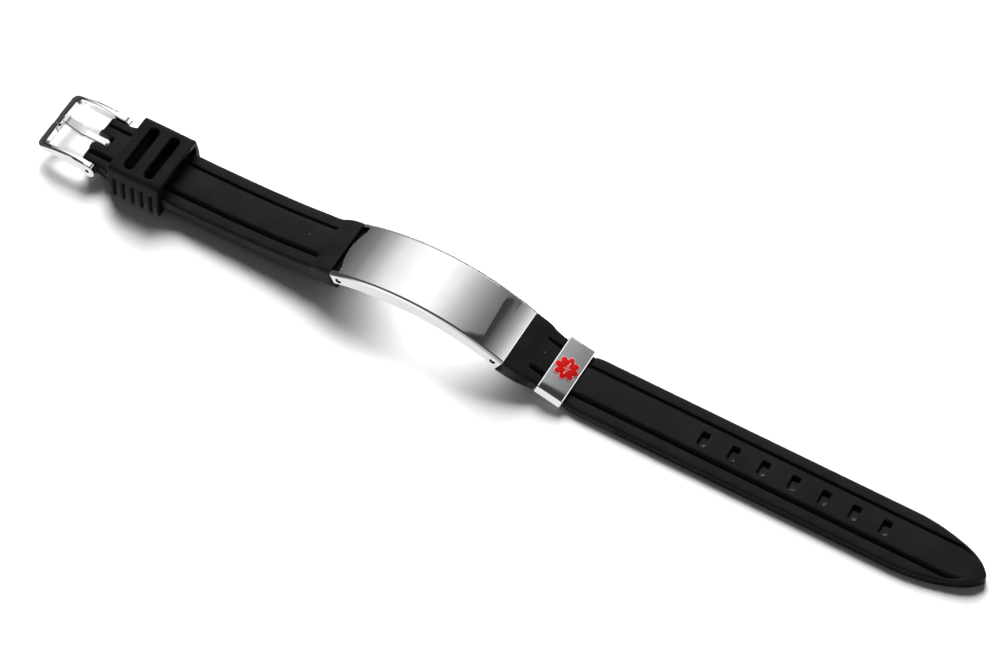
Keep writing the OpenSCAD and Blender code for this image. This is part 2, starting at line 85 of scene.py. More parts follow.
# Both straps
strap_w = 14
block_w = 14.8
groove_y = 3.8
groove_w = 1.3
groove_depth = 0.5
panel_rise = 0.35
edge_r = 0.6
base_r = 0.3
edge_reach = 1.3
base_reach = 1.2
# How far below the margin the painted shade in the grooves reaches
dark_depth = 0.9
groove_lip_r = 0.16
groove_foot_r = 0.14
panel_edge_r = 0.22
# Where the painted highlight along the straps' lower side edge lies, and how wide it is
highlight_rise = 0.12
highlight_w = 0.16
tang_root = 2
tang_edge = 0.15
# Depth below the plate's top past which the tang gets painted shade
tang_dark_depth = 0.5
end_spare = 0.01
side_gap = 0.15
seat_gap = 0.05

# The tail strap with its holes and its sleeve
tail_t = 2.5
tail_block_h = 4.5
first_hole = 43.7
hole_count = 7
hole_pitch = 7
hole_l = 2
hole_w = 3.4
hole_corner = 0.35
hole_mouth = 0.16
taper_gap = 4
tip_l = 18.8
tip_last = 0.995
tip_bulge = 1.9
tip_bluntness = 0.62
tip_fade = 0.55
tip_smooth = 0.85
sleeve_l = 6.3
sleeve_tilt = 17
sleeve_wall = 0.4
sleeve_gap = 8.2
sleeve_crown = 0.17
sleeve_camber = 0.0025
camber_start = 5
sleeve_edge = 0.22
sleeve_end_r = 0.1
sleeve_corner = 0.3
sleeve_inner_corner = 0.05
lower_edge_fall = 0.32
upper_edge_fall = 0.45
waist_t = 2
waist_in = 0.3
waist_flare = 2.5
badge_d = 5.8
badge_t = 0.25
badge_lobes = 8
lobe_share = 0.24
badge_rim_w = 0.14
pulse_w = 0.12
pulse_rise = 0.03
glue_gap = 0.02

# The buckle strap, its keeper and its buckle, which turns on the spring bar
bar = Vector(frame["joints"][0]["pos_m"]) / MM
buckle_strap_t = 3.7
bar_rise = 1.85
strap_end_l = 2.9
strap_end_w = 12.5
shoulder_l = 5
fine_zone = 8
slot_gap = 0.5
slot_reach = 0.2
slot_corner = 0.3
slot_mouth = 0.2
keeper_low, keeper_high = (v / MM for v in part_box("keeper_loop"))
keeper_wall = 1.7
keeper_side = 1.45
keeper_slope_w = 0.9
keeper_slope_h = 5
keeper_slot_l = 12
keeper_slot_w = 2.4
keeper_slot_pitch = 5.1
keeper_slot_mouth = 0.3
keeper_end_r = 0.35
flute_count = 5
flute_pitch = 2.3
flute_r = 0.55
flute_depth = 0.85
flute_spread = 1.25
flute_blunt = 0.8
flute_fade_h = 0.88
flute_shade = 0.6
frame_l = 13.2
arm_w = 1.5
front_w = 2.4
front_h = 0.5
front_x = front_w - frame_l
crown_h = 2.25
crown_reach = 5.2
under_h = 0.6
under_rise = 3.7
lug_r = 1.75
corner_r = 1.6
window_r = 0.9
notch_depth = 0.4
notch_slope = 17
notch_gap = 0.06
front_bevel = 0.85
arm_bevel = 0.45
arm_slope = 0.45
bevel_least = 0.2
bevel_start = 2
bevel_run = 6
bevel_rise = 0.9
slope_start = 1
slope_run = 3
crest_share = 0.3
bar_r = 0.65
bar_tip_r = 0.4
bar_chamfer = 0.1
tip_chamfer = 0.12
tip_short = 0.7
turn_gap = 0.05
eye_r = 1.1
tongue_w = 2.4
shank_w = 2
tongue_t = 1
shank_t = 0.8
step_x = 5.3
step_rise = 0.2
bend_h = 3
bend_gap = 0.5
tongue_inset = 0.7
tip_t = 0.5
tip_bend_in = 0.3
eye_crown = 0.12

# Cutters that reach past everything, and the most of an edge that one rounding takes
cutter_half = 10
most_of_edge = 0.49

# Points closer than this are one, in metres: in a new mesh and after a cut
same_point = 1e-7
seam_gap = 1e-6

# Finishes
mottled_tone = 0.8, 1.25
mottled_blue = 0.84, 1.3
silicone_roughness = 0.45, 0.55
groove_roughness = 0.35
dust_share = 0.05
dust_cover = 0.5
dust_colour = (0.2, 0.2, 0.19, 1)
# A painted highlight along the straps' lower side edge
lower_edge_highlight_cover = 0.5
lower_edge_highlight_colour = (0.07, 0.07, 0.075, 1)
# Painted shade in the rubber's grooves
groove_shade_colour = (0.002, 0.002, 0.002, 1)
# Painted shade round pin and bar ends and in the slits beside the tongue's tip
painted_shade_colour = (0.015, 0.015, 0.015, 1)
speck_sharpness = 12
smudge_scale = 160

# Light and camera
card_height = 600
panel_strength = 1.33
seen_strength = 0.9
gloss_strength = 1.1
diffuse_strength = 0.08
table_reach = 3000
table_tone = 0.9
camera_tilt = 57.06
camera_turn = 30.11
camera_distance = 800
camera_lens = 139.51
camera_aim = 2.22, -5.17, 14.38


# Meshes

def new_object(name, data):
    """A new object that is linked to the scene."""
    thing = bpy.data.objects.new(name, data)
    bpy.context.scene.collection.objects.link(thing)
    return thing


def reshape(mesh, change):
    """Changes a mesh and turns its faces outwards."""
    shape = bmesh.new()
    shape.from_mesh(mesh)
    change(shape)
    bmesh.ops.recalc_face_normals(shape, faces=shape.faces)
    shape.to_mesh(mesh)
    shape.free()


def merge_points(mesh, distance=seam_gap):
    """Merges points that lie closer together than a distance, and turns the faces outwards."""
    reshape(mesh, lambda shape: bmesh.ops.remove_doubles(shape, verts=shape.verts, dist=distance))


def mesh_piece(name, points, faces, masks=()):
    """An object at the origin from points in millimetres; masks are named values of the points."""
    mesh = bpy.data.meshes.new(name)
    mesh.from_pydata((np.asarray(points, float) * MM).tolist(), [], faces)
    for label, values in masks:
        marks = mesh.attributes.new(label, "FLOAT", "POINT")
        marks.data.foreach_set("value", np.asarray(values, np.float32))
    merge_points(mesh, same_point)
    return new_object(name, mesh)


def quads(rows, columns, round_rows=False):
    """Faces between the rows of a grid of points, each row closed."""
    faces = []
    for i in range(rows if round_rows else rows - 1):
        k = (i + 1) % rows
        for j in range(columns):
            m = (j + 1) % columns
            faces.append((i * columns + j, k * columns + j, k * columns + m, i * columns + m))
    return faces


def loft(name, rings):
    """A closed solid through rings that each have the same number of points."""
    count, size, columns = np.shape(rings)
    ends = [tuple(range(size)), tuple(range((count - 1) * size, count * size))]
    table = np.reshape(rings, (-1, columns))
    # Masks kept with the points, where a ring has them: painted shade in grooves, and a painted highlight
    # along the lower side edge
    masks = [(label, table[:, k]) for label, k in (("groove", 3), ("rim", 4)) if columns > k]
    return mesh_piece(name, table[:, :3], quads(count, size) + ends, masks)


def angles(start, end, count):
    """Even steps from one angle to another, given in degrees and put out in radians."""
    return np.radians(np.linspace(start, end, count))


def turned(name, profile, place=Vector(), count=48):
    """A solid of rotation across the bracelet, from a profile of places along Y and radii."""
    turns = np.linspace(0, 2 * pi, count, endpoint=False)
    return loft(name, [[(place.x + r * cos(t), y, place.z + r * sin(t)) for t in turns] for y, r in profile])


def settle(piece):
    """Turns the piece with its modifiers into a plain mesh."""
    graph = bpy.context.evaluated_depsgraph_get()
    mesh = bpy.data.meshes.new_from_object(piece.evaluated_get(graph))
    piece.modifiers.clear()
    piece.data = mesh


def join(piece, tool):
    """Joins a tool's shape to a piece and removes the tool."""
    change = piece.modifiers.new("join", "BOOLEAN")
    change.operation = "UNION"
    change.solver = "EXACT"
    change.object = tool
    settle(piece)
    bpy.data.objects.remove(tool)


def soften(piece, width, angle, segments):
    """Rounds a piece's edges that are sharper than an angle."""
    bevel = piece.modifiers.new("bevel", "BEVEL")
    bevel.width = width * MM
    bevel.segments = segments
    bevel.limit_method = "ANGLE"
    bevel.angle_limit = radians(angle)
    bevel.use_clamp_overlap = True
    bevel.miter_outer = "MITER_ARC"
    settle(piece)


def finish_piece(piece, node, material, body="root", sharp=40, flat=False):
    """Gives a piece its material, its shading and its body, and hides the CAD node that it stands for, if
    any.
    """
    mesh = piece.data
    mesh.materials.clear()
    mesh.materials.append(material)
    mesh.polygons.foreach_set("material_index", [0] * len(mesh.polygons))
    mesh.shade_smooth()
    mesh.set_sharp_from_angle(angle=radians(sharp))
    if flat:
        normals = piece.modifiers.new("normals", "WEIGHTED_NORMAL")
        normals.keep_sharp = True
        settle(piece)
    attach(piece, body)
    if node:
        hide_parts(node)


def ramp(value, start, run):
    """0 up to a start, 1 past a run from there, and even between."""
    return min(max((value - start) / run, 0), 1)


def eased(share):
    """A share that starts and ends softly."""
    return share * share * (3 - 2 * share)


def smooth_line(places, values, x):
    """A smooth line through values at places that never swings past them, read at x."""
    places, values = np.asarray(places, float), np.asarray(values, float)
    steps = np.diff(places)
    slopes = np.diff(values) / steps
    tangents = np.zeros(len(values))
    for i in range(1, len(values) - 1):
        if slopes[i - 1] * slopes[i] > 0:
            a = 2 * steps[i] + steps[i - 1]
            b = steps[i] + 2 * steps[i - 1]
            tangents[i] = (a + b) / (a / slopes[i - 1] + b / slopes[i])
    tangents[0], tangents[-1] = slopes[0], slopes[-1]
    i = np.clip(np.searchsorted(places, x, side="right") - 1, 0, len(steps) - 1)
    t = np.clip((x - places[i]) / steps[i], 0, 1)
    rise = values[i + 1] - values[i]
    start, end = tangents[i] * steps[i], tangents[i + 1] * steps[i]
    return values[i] + start * t + (3 * rise - 2 * start - end) * t ** 2 + (start + end - 2 * rise) * t ** 3


def rounded(corners, steps=5):
    """A line through corners, each given as two coordinates and how far its rounding reaches."""
    line = []
    last = len(corners) - 1
    for i, (a, b, reach) in enumerate(corners):
        here = np.array([a, b], float)
        if i in (0, last) or reach == 0:
            line.append(here)
            continue

        def along(neighbour):
            way = np.array(neighbour[:2], float) - here
            size = np.linalg.norm(way)
            return here + way / max(size, 1e-9) * min(reach, size * most_of_edge)

        start, end = along(corners[i - 1]), along(corners[i + 1])
        for t in np.linspace(0, 1, steps + 1):
            line.append(start * (1 - t) ** 2 + here * 2 * t * (1 - t) + end * t ** 2)
    return np.array(line)


def rounded_box(half_l, half_w, corner, steps=8):
    """A closed outline of a rectangle with round corners."""
    line = []
    for x, y, start in ((1, 1, 0), (-1, 1, 90), (-1, -1, 180), (1, -1, 270)):
        for t in angles(start, start + 90, steps + 1):
            line.append((x * (half_l - corner) + corner * cos(t), y * (half_w - corner) + corner * sin(t)))
    return np.array(line)


def on_arc(r, angle):
    """A point on the plate's arc, at a distance from its centre and an angle from upright."""
    turn = radians(angle)
    return Vector((arc_x + r * sin(turn), 0, arc_z + r * cos(turn)))


# Geometry nodes

def put(tree, kind, sockets=None, **settings):
    """A node with its settings; each socket gets a value or another node's output."""
    node = tree.nodes.new(kind)
    for key, value in settings.items():
        setattr(node, key, value)
    for key, value in (sockets or {}).items():
        if isinstance(value, bpy.types.NodeSocket):
            tree.links.new(value, node.inputs[key])
        else:
            node.inputs[key].default_value = value
    return node


def new_tree(name, inputs, outputs, kind="ShaderNodeTree"):
    """A node tree with named inputs and outputs, and its inputs."""
    tree = bpy.data.node_groups.new(name, kind)
    for in_out, sockets in (("INPUT", inputs), ("OUTPUT", outputs)):
        for label, socket in sockets.items():
            tree.interface.new_socket(label, in_out=in_out, socket_type="NodeSocket" + socket)
    return tree, tree.nodes.new("NodeGroupInput").outputs


def geometry_tree(name, inputs):
    """A geometry node tree that takes a shape in, gives one out and has named inputs."""
    shape = {"Geometry": "Geometry"}
    return new_tree(name, {**shape, **inputs, "Material": "Material"}, shape, "GeometryNodeTree")


def close_tree(tree, geometry, material):
    """Ends a tree in real geometry with its material."""
    real = put(tree, "GeometryNodeRealizeInstances", {"Geometry": geometry})
    dressed = put(tree, "GeometryNodeSetMaterial", {"Geometry": real.outputs[0], "Material": material})
    put(tree, "NodeGroupOutput", {"Geometry": dressed.outputs[0]})


def run_tree(piece, tree, values):
    """Runs a tree on a piece with its inputs set by name, and keeps the plain mesh."""
    modifier = piece.modifiers.new(tree.name, "NODES")
    modifier.node_group = tree
    for item in tree.interface.items_tree:
        if item.in_out == "INPUT" and item.name in values:
            modifier[item.identifier] = values[item.name]
    settle(piece)


def shape_of(tree, thing):
    """The shape of an object that a tree is given."""
    return put(tree, "GeometryNodeObjectInfo", {"Object": thing}).outputs["Geometry"]


def stand_at(tree, points, shape):
    """A shape at each of some points, as real geometry."""
    row = put(tree, "GeometryNodeInstanceOnPoints", {"Points": points, "Instance": shape})
    return put(tree, "GeometryNodeRealizeInstances", {"Geometry": row.outputs[0]}).outputs[0]


def cut_shapes(tree, given, cutters):
    """Cuts shapes out of the one that a tree is given, and ends the tree."""
    cut = put(tree, "GeometryNodeMeshBoolean", operation="DIFFERENCE", solver="EXACT")
    tree.links.new(given["Geometry"], cut.inputs["Mesh 1"])
    for cutter in cutters:
        tree.links.new(cutter, cut.inputs["Mesh 2"])
    close_tree(tree, cut.outputs["Mesh"], given["Material"])


def row_of_cuts():
    """Cuts a row of equal holes: a cutter stands at each place of a line, a step apart."""
    tree, given = geometry_tree("row_of_cuts", {
        "Cutter": "Object", "Count": "Int", "Start": "Vector", "Step": "Vector"})
    line = put(tree, "GeometryNodeMeshLine", {
        "Count": given["Count"], "Start Location": given["Start"], "Offset": given["Step"]}, mode="OFFSET")
    cut_shapes(tree, given, [stand_at(tree, line.outputs[0], shape_of(tree, given["Cutter"]))])
    return tree


def cut_row(piece, cutter, start, material, count=1, step=(0, 0, 0)):
    """Cuts a hole or a row of holes in a piece and removes the cutter."""
    run_tree(piece, cut_tree, {
        "Cutter": cutter, "Count": count, "Start": [v * MM for v in start],
        "Step": [v * MM for v in step], "Material": material})
    bpy.data.objects.remove(cutter)


def slot_cutter(half_l, half_w, corner, low, high, mouth, steps=8):
    """A cutter along Z for a slot with round corners, which widens in a rounding at its mouth."""
    levels = [(0, low)]
    levels += [(mouth * (1 - cos(t)), high - mouth + mouth * sin(t)) for t in angles(0, 80, 7)]
    rings = []
    for out, z in levels + [(mouth, high + mouth)]:
        outline = rounded_box(half_l + out, half_w + out, corner + out, steps)
        rings.append([(x, y, z) for x, y in outline])
    return loft("cutter", rings)


def bore(piece, r, place, material):
    """Bores a round hole across the bracelet, right through a piece."""
    cut_row(piece, turned("cutter", [(-cutter_half, r), (cutter_half, r)]), place, material)


# Materials

def math_node(tree, operation, a, b=0.0, clamp=False):
    """A sum, a comparison or another result of two values."""
    return put(tree, "ShaderNodeMath", {0: a, 1: b}, operation=operation, use_clamp=clamp).outputs[0]


def vector_node(tree, operation, a, b=(0, 0, 0)):
    """A sum or another result of two vectors, as the node's outputs."""
    return put(tree, "ShaderNodeVectorMath", {0: a, 1: b}, operation=operation).outputs


def parts_of(tree, vector):
    """A vector's three parts, by name."""
    return put(tree, "ShaderNodeSeparateXYZ", {"Vector": vector}).outputs


def product(tree, first, *others):
    """The product of values."""
    for other in others:
        first = math_node(tree, "MULTIPLY", first, other)
    return first


def between(tree, value, low, high):
    """A mask of where a value lies between two others."""
    return product(tree, math_node(tree, "LESS_THAN", value, high),
                   math_node(tree, "GREATER_THAN", value, low))


def noise(tree, place, scale, detail, roughness=0.5):
    """Soft noise from 0 to 1."""
    return put(tree, "ShaderNodeTexNoise", {
        "Vector": place, "Scale": scale, "Detail": detail, "Roughness": roughness}).outputs["Fac"]


def grain_group():
    """Fine grain and slow mottling of a surface, as a height and a mask."""
    tree, given = new_tree("grain", {
        "Vector": "Vector", "Fine": "Float", "Coarse": "Float"}, {"Height": "Float", "Mottling": "Float"})
    put(tree, "NodeGroupOutput", {
        "Height": noise(tree, given["Vector"], given["Fine"], detail=4, roughness=0.6),
        "Mottling": noise(tree, given["Vector"], given["Coarse"], detail=3)})
    return tree


def dust_group():
    """Scattered specks of dust, as a mask; only a share of the cells holds one."""
    tree, given = new_tree("dust", {
        "Vector": "Vector", "Density": "Float", "Size": "Float", "Share": "Float"}, {"Mask": "Float"})
    cells = put(tree, "ShaderNodeTexVoronoi", {
        "Vector": given["Vector"], "Scale": given["Density"], "Randomness": 1}).outputs
    inside = math_node(tree, "SUBTRACT", given["Size"], cells["Distance"])
    speck = math_node(tree, "MULTIPLY", inside, speck_sharpness, clamp=True)
    dice = put(tree, "ShaderNodeSeparateColor", {"Color": cells["Color"]}).outputs[0]
    chosen = math_node(tree, "LESS_THAN", dice, given["Share"])
    put(tree, "NodeGroupOutput", {"Mask": product(tree, speck, chosen)})
    return tree


def wipe_group():
    """Faint polishing marks in one direction and soft smudges, as a height and a mask."""
    tree, given = new_tree("wipe_marks", {
        "Vector": "Vector", "Scale": "Vector"}, {"Height": "Float", "Smudge": "Float"})
    stretched = vector_node(tree, "MULTIPLY", given["Vector"], given["Scale"])[0]
    put(tree, "NodeGroupOutput", {
        "Height": noise(tree, stretched, 1, detail=5, roughness=0.7),
        "Smudge": noise(tree, given["Vector"], smudge_scale, detail=4)})
    return tree


def new_material(name):
    """An empty node material, its tree and its object coordinates."""
    material = bpy.data.materials.new(name)
    material.use_nodes = True
    material.node_tree.nodes.clear()
    place = put(material.node_tree, "ShaderNodeTexCoord").outputs["Object"]
    return material, material.node_tree, place


def map_range(tree, value, low, high, to_low, to_high):
    """A value moved from one range to another, held at its ends."""
    return put(tree, "ShaderNodeMapRange", {
        "Value": value, "From Min": low, "From Max": high, "To Min": to_low, "To Max": to_high}).outputs[0]


def mix_colour(tree, share, a, b):
    """A colour between two others."""
    return put(tree, "ShaderNodeMix", {0: share, 6: a, 7: b}, data_type="RGBA").outputs[2]


def use_group(tree, group, sockets):
    """A placed node group with its inputs, as its outputs."""
    return put(tree, "ShaderNodeGroup", sockets, node_tree=group).outputs


def mark(tree, name):
    """A mask that is kept with a mesh's points."""
    return put(tree, "ShaderNodeAttribute", attribute_name=name).outputs["Fac"]


def bump(tree, height, strength, distance):
    """A surface normal from a height."""
    return put(tree, "ShaderNodeBump", {
        "Strength": strength, "Distance": distance, "Height": height}).outputs[0]


def grey(tone, blue=None):
    """A grey colour, tinted by its own amount of blue where it has one."""
    return (tone, tone, tone if blue is None else blue, 1)


def close_material(tree, kind, sockets):
    """A shader with its sockets, joined to the output."""
    shader = put(tree, kind, sockets)
    put(tree, "ShaderNodeOutputMaterial", {"Surface": shader.outputs[0]})


def silicone(name, tone, specular, groove_shade):
    """Satin black silicone with a fine moulded grain, slow mottling, a few specks of dust, painted shade in
    its grooves and a painted highlight along its lower side edge.
    """
    material, tree, place = new_material(name)
    grain = use_group(tree, grain_group_tree, {"Vector": place, "Fine": 5200, "Coarse": 190})
    specks = use_group(tree, dust_group_tree, {
        "Vector": place, "Density": 420, "Size": 0.1, "Share": dust_share})
    mottling = map_range(tree, grain["Mottling"], 0.35, 0.65, 0, 1)
    dark, light = (grey(tone * share, tone * blue) for share, blue in zip(mottled_tone, mottled_blue))
    colour = mix_colour(tree, mottling, dark, light)
    colour = mix_colour(tree, product(tree, specks["Mask"], dust_cover), colour, dust_colour)
    # A mask of painted shade in the grooves, the keeper's flutes and on the tang inside the plate, which also
    # roughens them
    groove_shade_mask = product(tree, map_range(tree, mark(tree, "groove"), 0.1, 0.5, 0, 1), groove_shade)
    # A painted highlight along the straps' lower side edge
    colour = mix_colour(tree, product(tree, mark(tree, "rim"), lower_edge_highlight_cover), colour, lower_edge_highlight_colour)
    colour = mix_colour(tree, groove_shade_mask, colour, groove_shade_colour)
    rough = map_range(tree, grain["Mottling"], 0.3, 0.7, *silicone_roughness)
    rough = math_node(tree, "ADD", rough, product(tree, groove_shade_mask, groove_roughness), clamp=True)
    close_material(tree, "ShaderNodeBsdfPrincipled", {
        "Base Color": colour, "Roughness": rough, "Specular IOR Level": specular,
        "Normal": bump(tree, grain["Height"], strength=0.25, distance=2e-5)})
    return material


def shade_ring_group():
    """Painted shade round an axis across the bracelet, between two distances and beyond a width, as a mask.
    """
    tree, given = new_tree("painted_shade_ring", {
        "Vector": "Vector", "Axis": "Vector", "Inner": "Float", "Outer": "Float", "Width": "Float"},
        {"Mask": "Float"})
    away = vector_node(tree, "SUBTRACT", given["Vector"], given["Axis"])[0]
    reach = vector_node(tree, "LENGTH", vector_node(tree, "MULTIPLY", away, (1, 0, 1))[0])["Value"]
    across = parts_of(tree, given["Vector"])["Y"]
    past = math_node(tree, "GREATER_THAN", math_node(tree, "ABSOLUTE", across), given["Width"])
    put(tree, "NodeGroupOutput", {
        "Mask": product(tree, between(tree, reach, given["Inner"], given["Outer"]), past)})
    return tree


def slit_group():
    """Painted shade in a slit on both sides of the middle, up to a place along X, as a mask."""
    tree, given = new_tree("slit", {
        "Vector": "Vector", "Inner": "Float", "Outer": "Float", "End": "Float"}, {"Mask": "Float"})
    place = parts_of(tree, given["Vector"])
    across = math_node(tree, "ABSOLUTE", place["Y"])
    short = math_node(tree, "LESS_THAN", place["X"], given["End"])
    put(tree, "NodeGroupOutput", {
        "Mask": product(tree, between(tree, across, given["Inner"], given["Outer"]), short)})
    return tree


def polished_steel(name, tone, roughness, marks, painted_shades=()):
    """Mirror-polished steel with wipe marks and soft smudges; painted shades are groups and sizes of dark
    painted shade.
    """
    material, tree, place = new_material(name)
    wipes = use_group(tree, wipe_group_tree, {"Vector": place, "Scale": marks})
    smudge = map_range(tree, wipes["Smudge"], 0.4, 0.65, 0, 1)
    colour = mix_colour(tree, smudge, grey(tone), grey(tone * 0.97, tone * 0.975))
    rough = map_range(tree, wipes["Smudge"], 0.35, 0.7, roughness, roughness * 1.5)
    # Painted shade in the gaps round pin and bar ends and beside the tongue's tip
    for group, sizes in painted_shades:
        sockets = {key: size * MM for key, size in sizes.items()}
        dark = use_group(tree, group, {"Vector": place, **sockets})["Mask"]
        colour = mix_colour(tree, dark, colour, painted_shade_colour)
    close_material(tree, "ShaderNodeBsdfPrincipled", {
        "Base Color": colour, "Metallic": 1.0, "Roughness": rough,
        "Normal": bump(tree, wipes["Height"], strength=0.02, distance=4e-6)})
    return material


def enamel(name, colour, roughness):
    """Glossy enamel with slightly uneven depth of colour and a soft orange-peel surface."""
    material, tree, place = new_material(name)
    grain = use_group(tree, grain_group_tree, {"Vector": place, "Fine": 1400, "Coarse": 500})
    deep = tuple(c * 0.82 for c in colour)
    tinted = mix_colour(tree, map_range(tree, grain["Mottling"], 0.3, 0.7, 0, 1), (*colour, 1), (*deep, 1))
    close_material(tree, "ShaderNodeBsdfPrincipled", {
        "Base Color": tinted, "Normal": bump(tree, grain["Height"], strength=0.1, distance=1e-5),
        "Roughness": map_range(tree, grain["Mottling"], 0.3, 0.7, roughness, roughness + 0.08),
        "Coat Weight": 0.15, "Coat Roughness": 0.08, "Specular IOR Level": 0.15})
    return material


# The straps

def strap_ring(x, top, bottom, half, relief):
    """One section across a strap: rounded edges, two grooves and a raised panel between them."""
    margin = top - relief * panel_rise
    ground = margin - relief * groove_depth
    edge = min(edge_r, half / 2)
    base = min(base_r, half / 3)
    room = min(1, (half - edge) / (groove_y + groove_w / 2))
    lip, foot, panel = (room * (groove_y + groove_w * share) for share in (0.5, 0.2, -0.5))
    side = rounded([
        (0, bottom, 0), (half, bottom, base * base_reach), (half, margin, edge * edge_reach),
        (lip, margin, groove_lip_r * room), (foot, ground, groove_foot_r * room),
        (panel, top, panel_edge_r * room), (0, top, 0)])
    # A mask for painted shade in the grooves, by how deep each point lies below the surface there
    level = margin + np.clip((lip - side[:, 0]) / (lip - panel), 0, 1) * (top - margin)
    deep = np.clip((level - side[:, 1]) / groove_depth, 0, 1)
    deep *= (side[:, 0] < lip) * (side[:, 1] > margin - dark_depth)
    # A painted highlight in a band just above the lower side edge
    lower_edge_highlight = np.clip(1 - np.abs(side[:, 1] - bottom - highlight_rise) / highlight_w, 0, 1) * (side[:, 0] > half - base_r)
    side = np.column_stack([np.full(len(side), x), side, deep, lower_edge_highlight])
    return np.vstack([side, side[-2:0:-1] * [1, -1, 1, 1, 1]])


def read_rows(rows, places):
    """Smooth values at places along X from a table's rows, each with its place first."""
    table = np.array(rows, float)
    columns = [smooth_line(table[:, 0], column, places) for column in table.T[1:]]
    return zip(places, *columns)


def along_arc(angle, side):
    """The way along the plate's arc at an angle, towards the tail where side is 1."""
    turn = radians(angle)
    return Vector((cos(turn), 0, -sin(turn))) * side


def trim_end(piece, point, angle, side):
    """Cuts a strap off square to the plate's arc, a gap short of the plate's end."""
    along = along_arc(angle, side)

    def cut(shape):
        found = bmesh.ops.bisect_plane(
            shape, geom=shape.verts[:] + shape.edges[:] + shape.faces[:], clear_inner=True,
            plane_co=(point + along * side_gap) * MM, plane_no=along)
        rim = [e for e in found["geom_cut"] if isinstance(e, bmesh.types.BMEdge)]
        bmesh.ops.contextual_create(shape, geom=rim)

    reshape(piece.data, cut)


def tang(angle, side):
    """The strap's narrow end, round under the plate's top, which fills the plate's channel."""
    half = channel_w / 2 - side_gap
    top = pin_depth - plate_t - side_gap
    low = tail_block_h - pin_depth - edge_r
    reach = (pin_inset + tang_root) * side
    outline = [(reach, top), (reach, -low), (0, -low)]
    outline += [(-side * top * sin(t), top * -cos(t)) for t in np.linspace(0.2, pi, 16)]
    turn = radians(angle)
    pin = on_arc(plate_r - pin_depth, angle)
    rings = []
    for y, inset in ((-half, tang_edge), (tang_edge - half, 0), (half - tang_edge, 0), (half, tang_edge)):
        ring = []
        for along, up in outline:
            up -= inset if up > 0 else 0
            ring.append((pin.x + along * cos(turn) + up * sin(turn), y,
                         pin.z - along * sin(turn) + up * cos(turn)))
        rings.append(ring)
    return loft("tang", rings)


def darken_tang(piece, point, angle, side):
    """Marks what lies inside the plate for painted shade, as the grooves are."""
    along = along_arc(angle, side)
    outside = plate_r - tang_dark_depth
    marks = piece.data.attributes["groove"].data
    for i, vertex in enumerate(piece.data.vertices):
        place = vertex.co / MM
        away = place - arc_centre
        if (place - point).dot(along) < side_gap + end_spare and hypot(away.x, away.z) < outside:
            marks[i].value = 1


tail_end = on_arc(plate_r, tail_angle)
buckle_end = on_arc(plate_r, buckle_angle)
sleeve_h = waist_t + 2 * (sleeve_wall + seat_gap)
waist_w = strap_w - 2 * waist_in
sleeve_w = waist_w + 2 * (sleeve_wall + side_gap)
lean = radians(sleeve_tilt)
tail_pin = on_arc(plate_r - pin_depth, tail_angle - pin_angle)
buckle_pin = on_arc(plate_r - pin_depth, buckle_angle + pin_angle)
sleeve_x = tail_end.x + sleeve_gap + sleeve_l * cos(lean) - sleeve_h * sin(lean)


def in_sleeve(along, up):
    """A point by its place along the sleeve from its lower end and its height above its underside."""
    return Vector((sleeve_x + along * cos(lean) + up * sin(lean), 0,
                   seat_gap - along * sin(lean) + up * cos(lean)))


def sleeve_line(x, up):
    """Height at x of the line that lies at a height above the sleeve's underside."""
    start = in_sleeve(0, up)
    return start.z - (x - start.x) * tan(lean)


def fit_to_plate(strap, end, angle, side):
    """Cuts a strap to the plate's end and gives it its tang there."""
    trim_end(strap, end, angle, side)
    join(strap, tang(angle - side * pin_angle, side))
    darken_tang(strap, end, angle, side)


def tail_rows():
    """Sections of the tail strap up to its taper."""
    # Columns: share of the way, of the fall, of the block's height and width, and the grooves' relief
    block = [
        [-0.45, -0.45, 1.08, 1.00, 0],
        [0.00, 0.00, 1.00, 1.00, 0],
        [0.30, 0.29, 0.97, 0.99, 0],
        [0.46, 0.45, 0.93, 0.98, 0],
        [0.58, 0.58, 0.87, 0.96, 0],
        [0.67, 0.67, 0.84, 0.945, 1],
        [0.94, 0.94, 0.72, 0.91, 1],
    ]
    low = sleeve_wall + seat_gap
    start = in_sleeve(-sleeve_l, 0).x - side_gap
    end = in_sleeve(0, sleeve_h).x + side_gap
    fall = sleeve_line(start, low + waist_t) - tail_end.z
    rows = []
    for way, drop, height, width, relief in block:
        top = tail_end.z + drop * fall
        rows.append([tail_end.x + way * (start - tail_end.x), top, top - height * tail_block_h,
                     width * block_w / 2, relief])
    for x in (start, end):
        rows.append([x, sleeve_line(x, low + waist_t), sleeve_line(x, low), waist_w / 2, 1])
    # Columns: share of the flare, of the thickness and of the width
    for way, thick, width in ((0.25, 0.975, 0.98), (1, 1, 1)):
        rows.append([end + way * waist_flare, thick * tail_t, 0, width * strap_w / 2, 1])
    return rows


def tail_strap(material):
    """The strap with the holes, from the plate to its round tip."""
    rows = tail_rows()
    flat_x = rows[-1][0]
    first_x = tail_end.x + first_hole
    taper_x = first_x + (hole_count - 1) * hole_pitch + taper_gap
    rows.append([taper_x, tail_t, 0, strap_w / 2, 1])
    places = np.concatenate([np.linspace(rows[0][0], flat_x, 150), np.linspace(flat_x, taper_x, 60)[1:]])
    rings = [strap_ring(*values) for values in read_rows(rows, places)]
    for t in np.sin(np.linspace(0, pi / 2, 60))[1:] * tip_last:
        late = ramp(t, tip_smooth, 1 - tip_smooth)
        relief = eased(1 - ramp(t, tip_fade, tip_smooth - tip_fade))
        half = strap_w / 2 * (1 - t ** tip_bulge) ** tip_bluntness
        rings.append(strap_ring(taper_x + t * tip_l, tail_t - edge_r * late ** 2, 0, half, relief))
    strap = loft("tail_strap", rings)
    fit_to_plate(strap, tail_end, tail_angle, 1)
    hole = slot_cutter(hole_l / 2, hole_w / 2, hole_corner, -1, tail_t, hole_mouth)
    cut_row(strap, hole, (first_x, 0, 0), material, hole_count, (hole_pitch, 0, 0))
    bore(strap, pin_r + seat_gap, tail_pin, material)
    finish_piece(strap, "tail_strap", material)


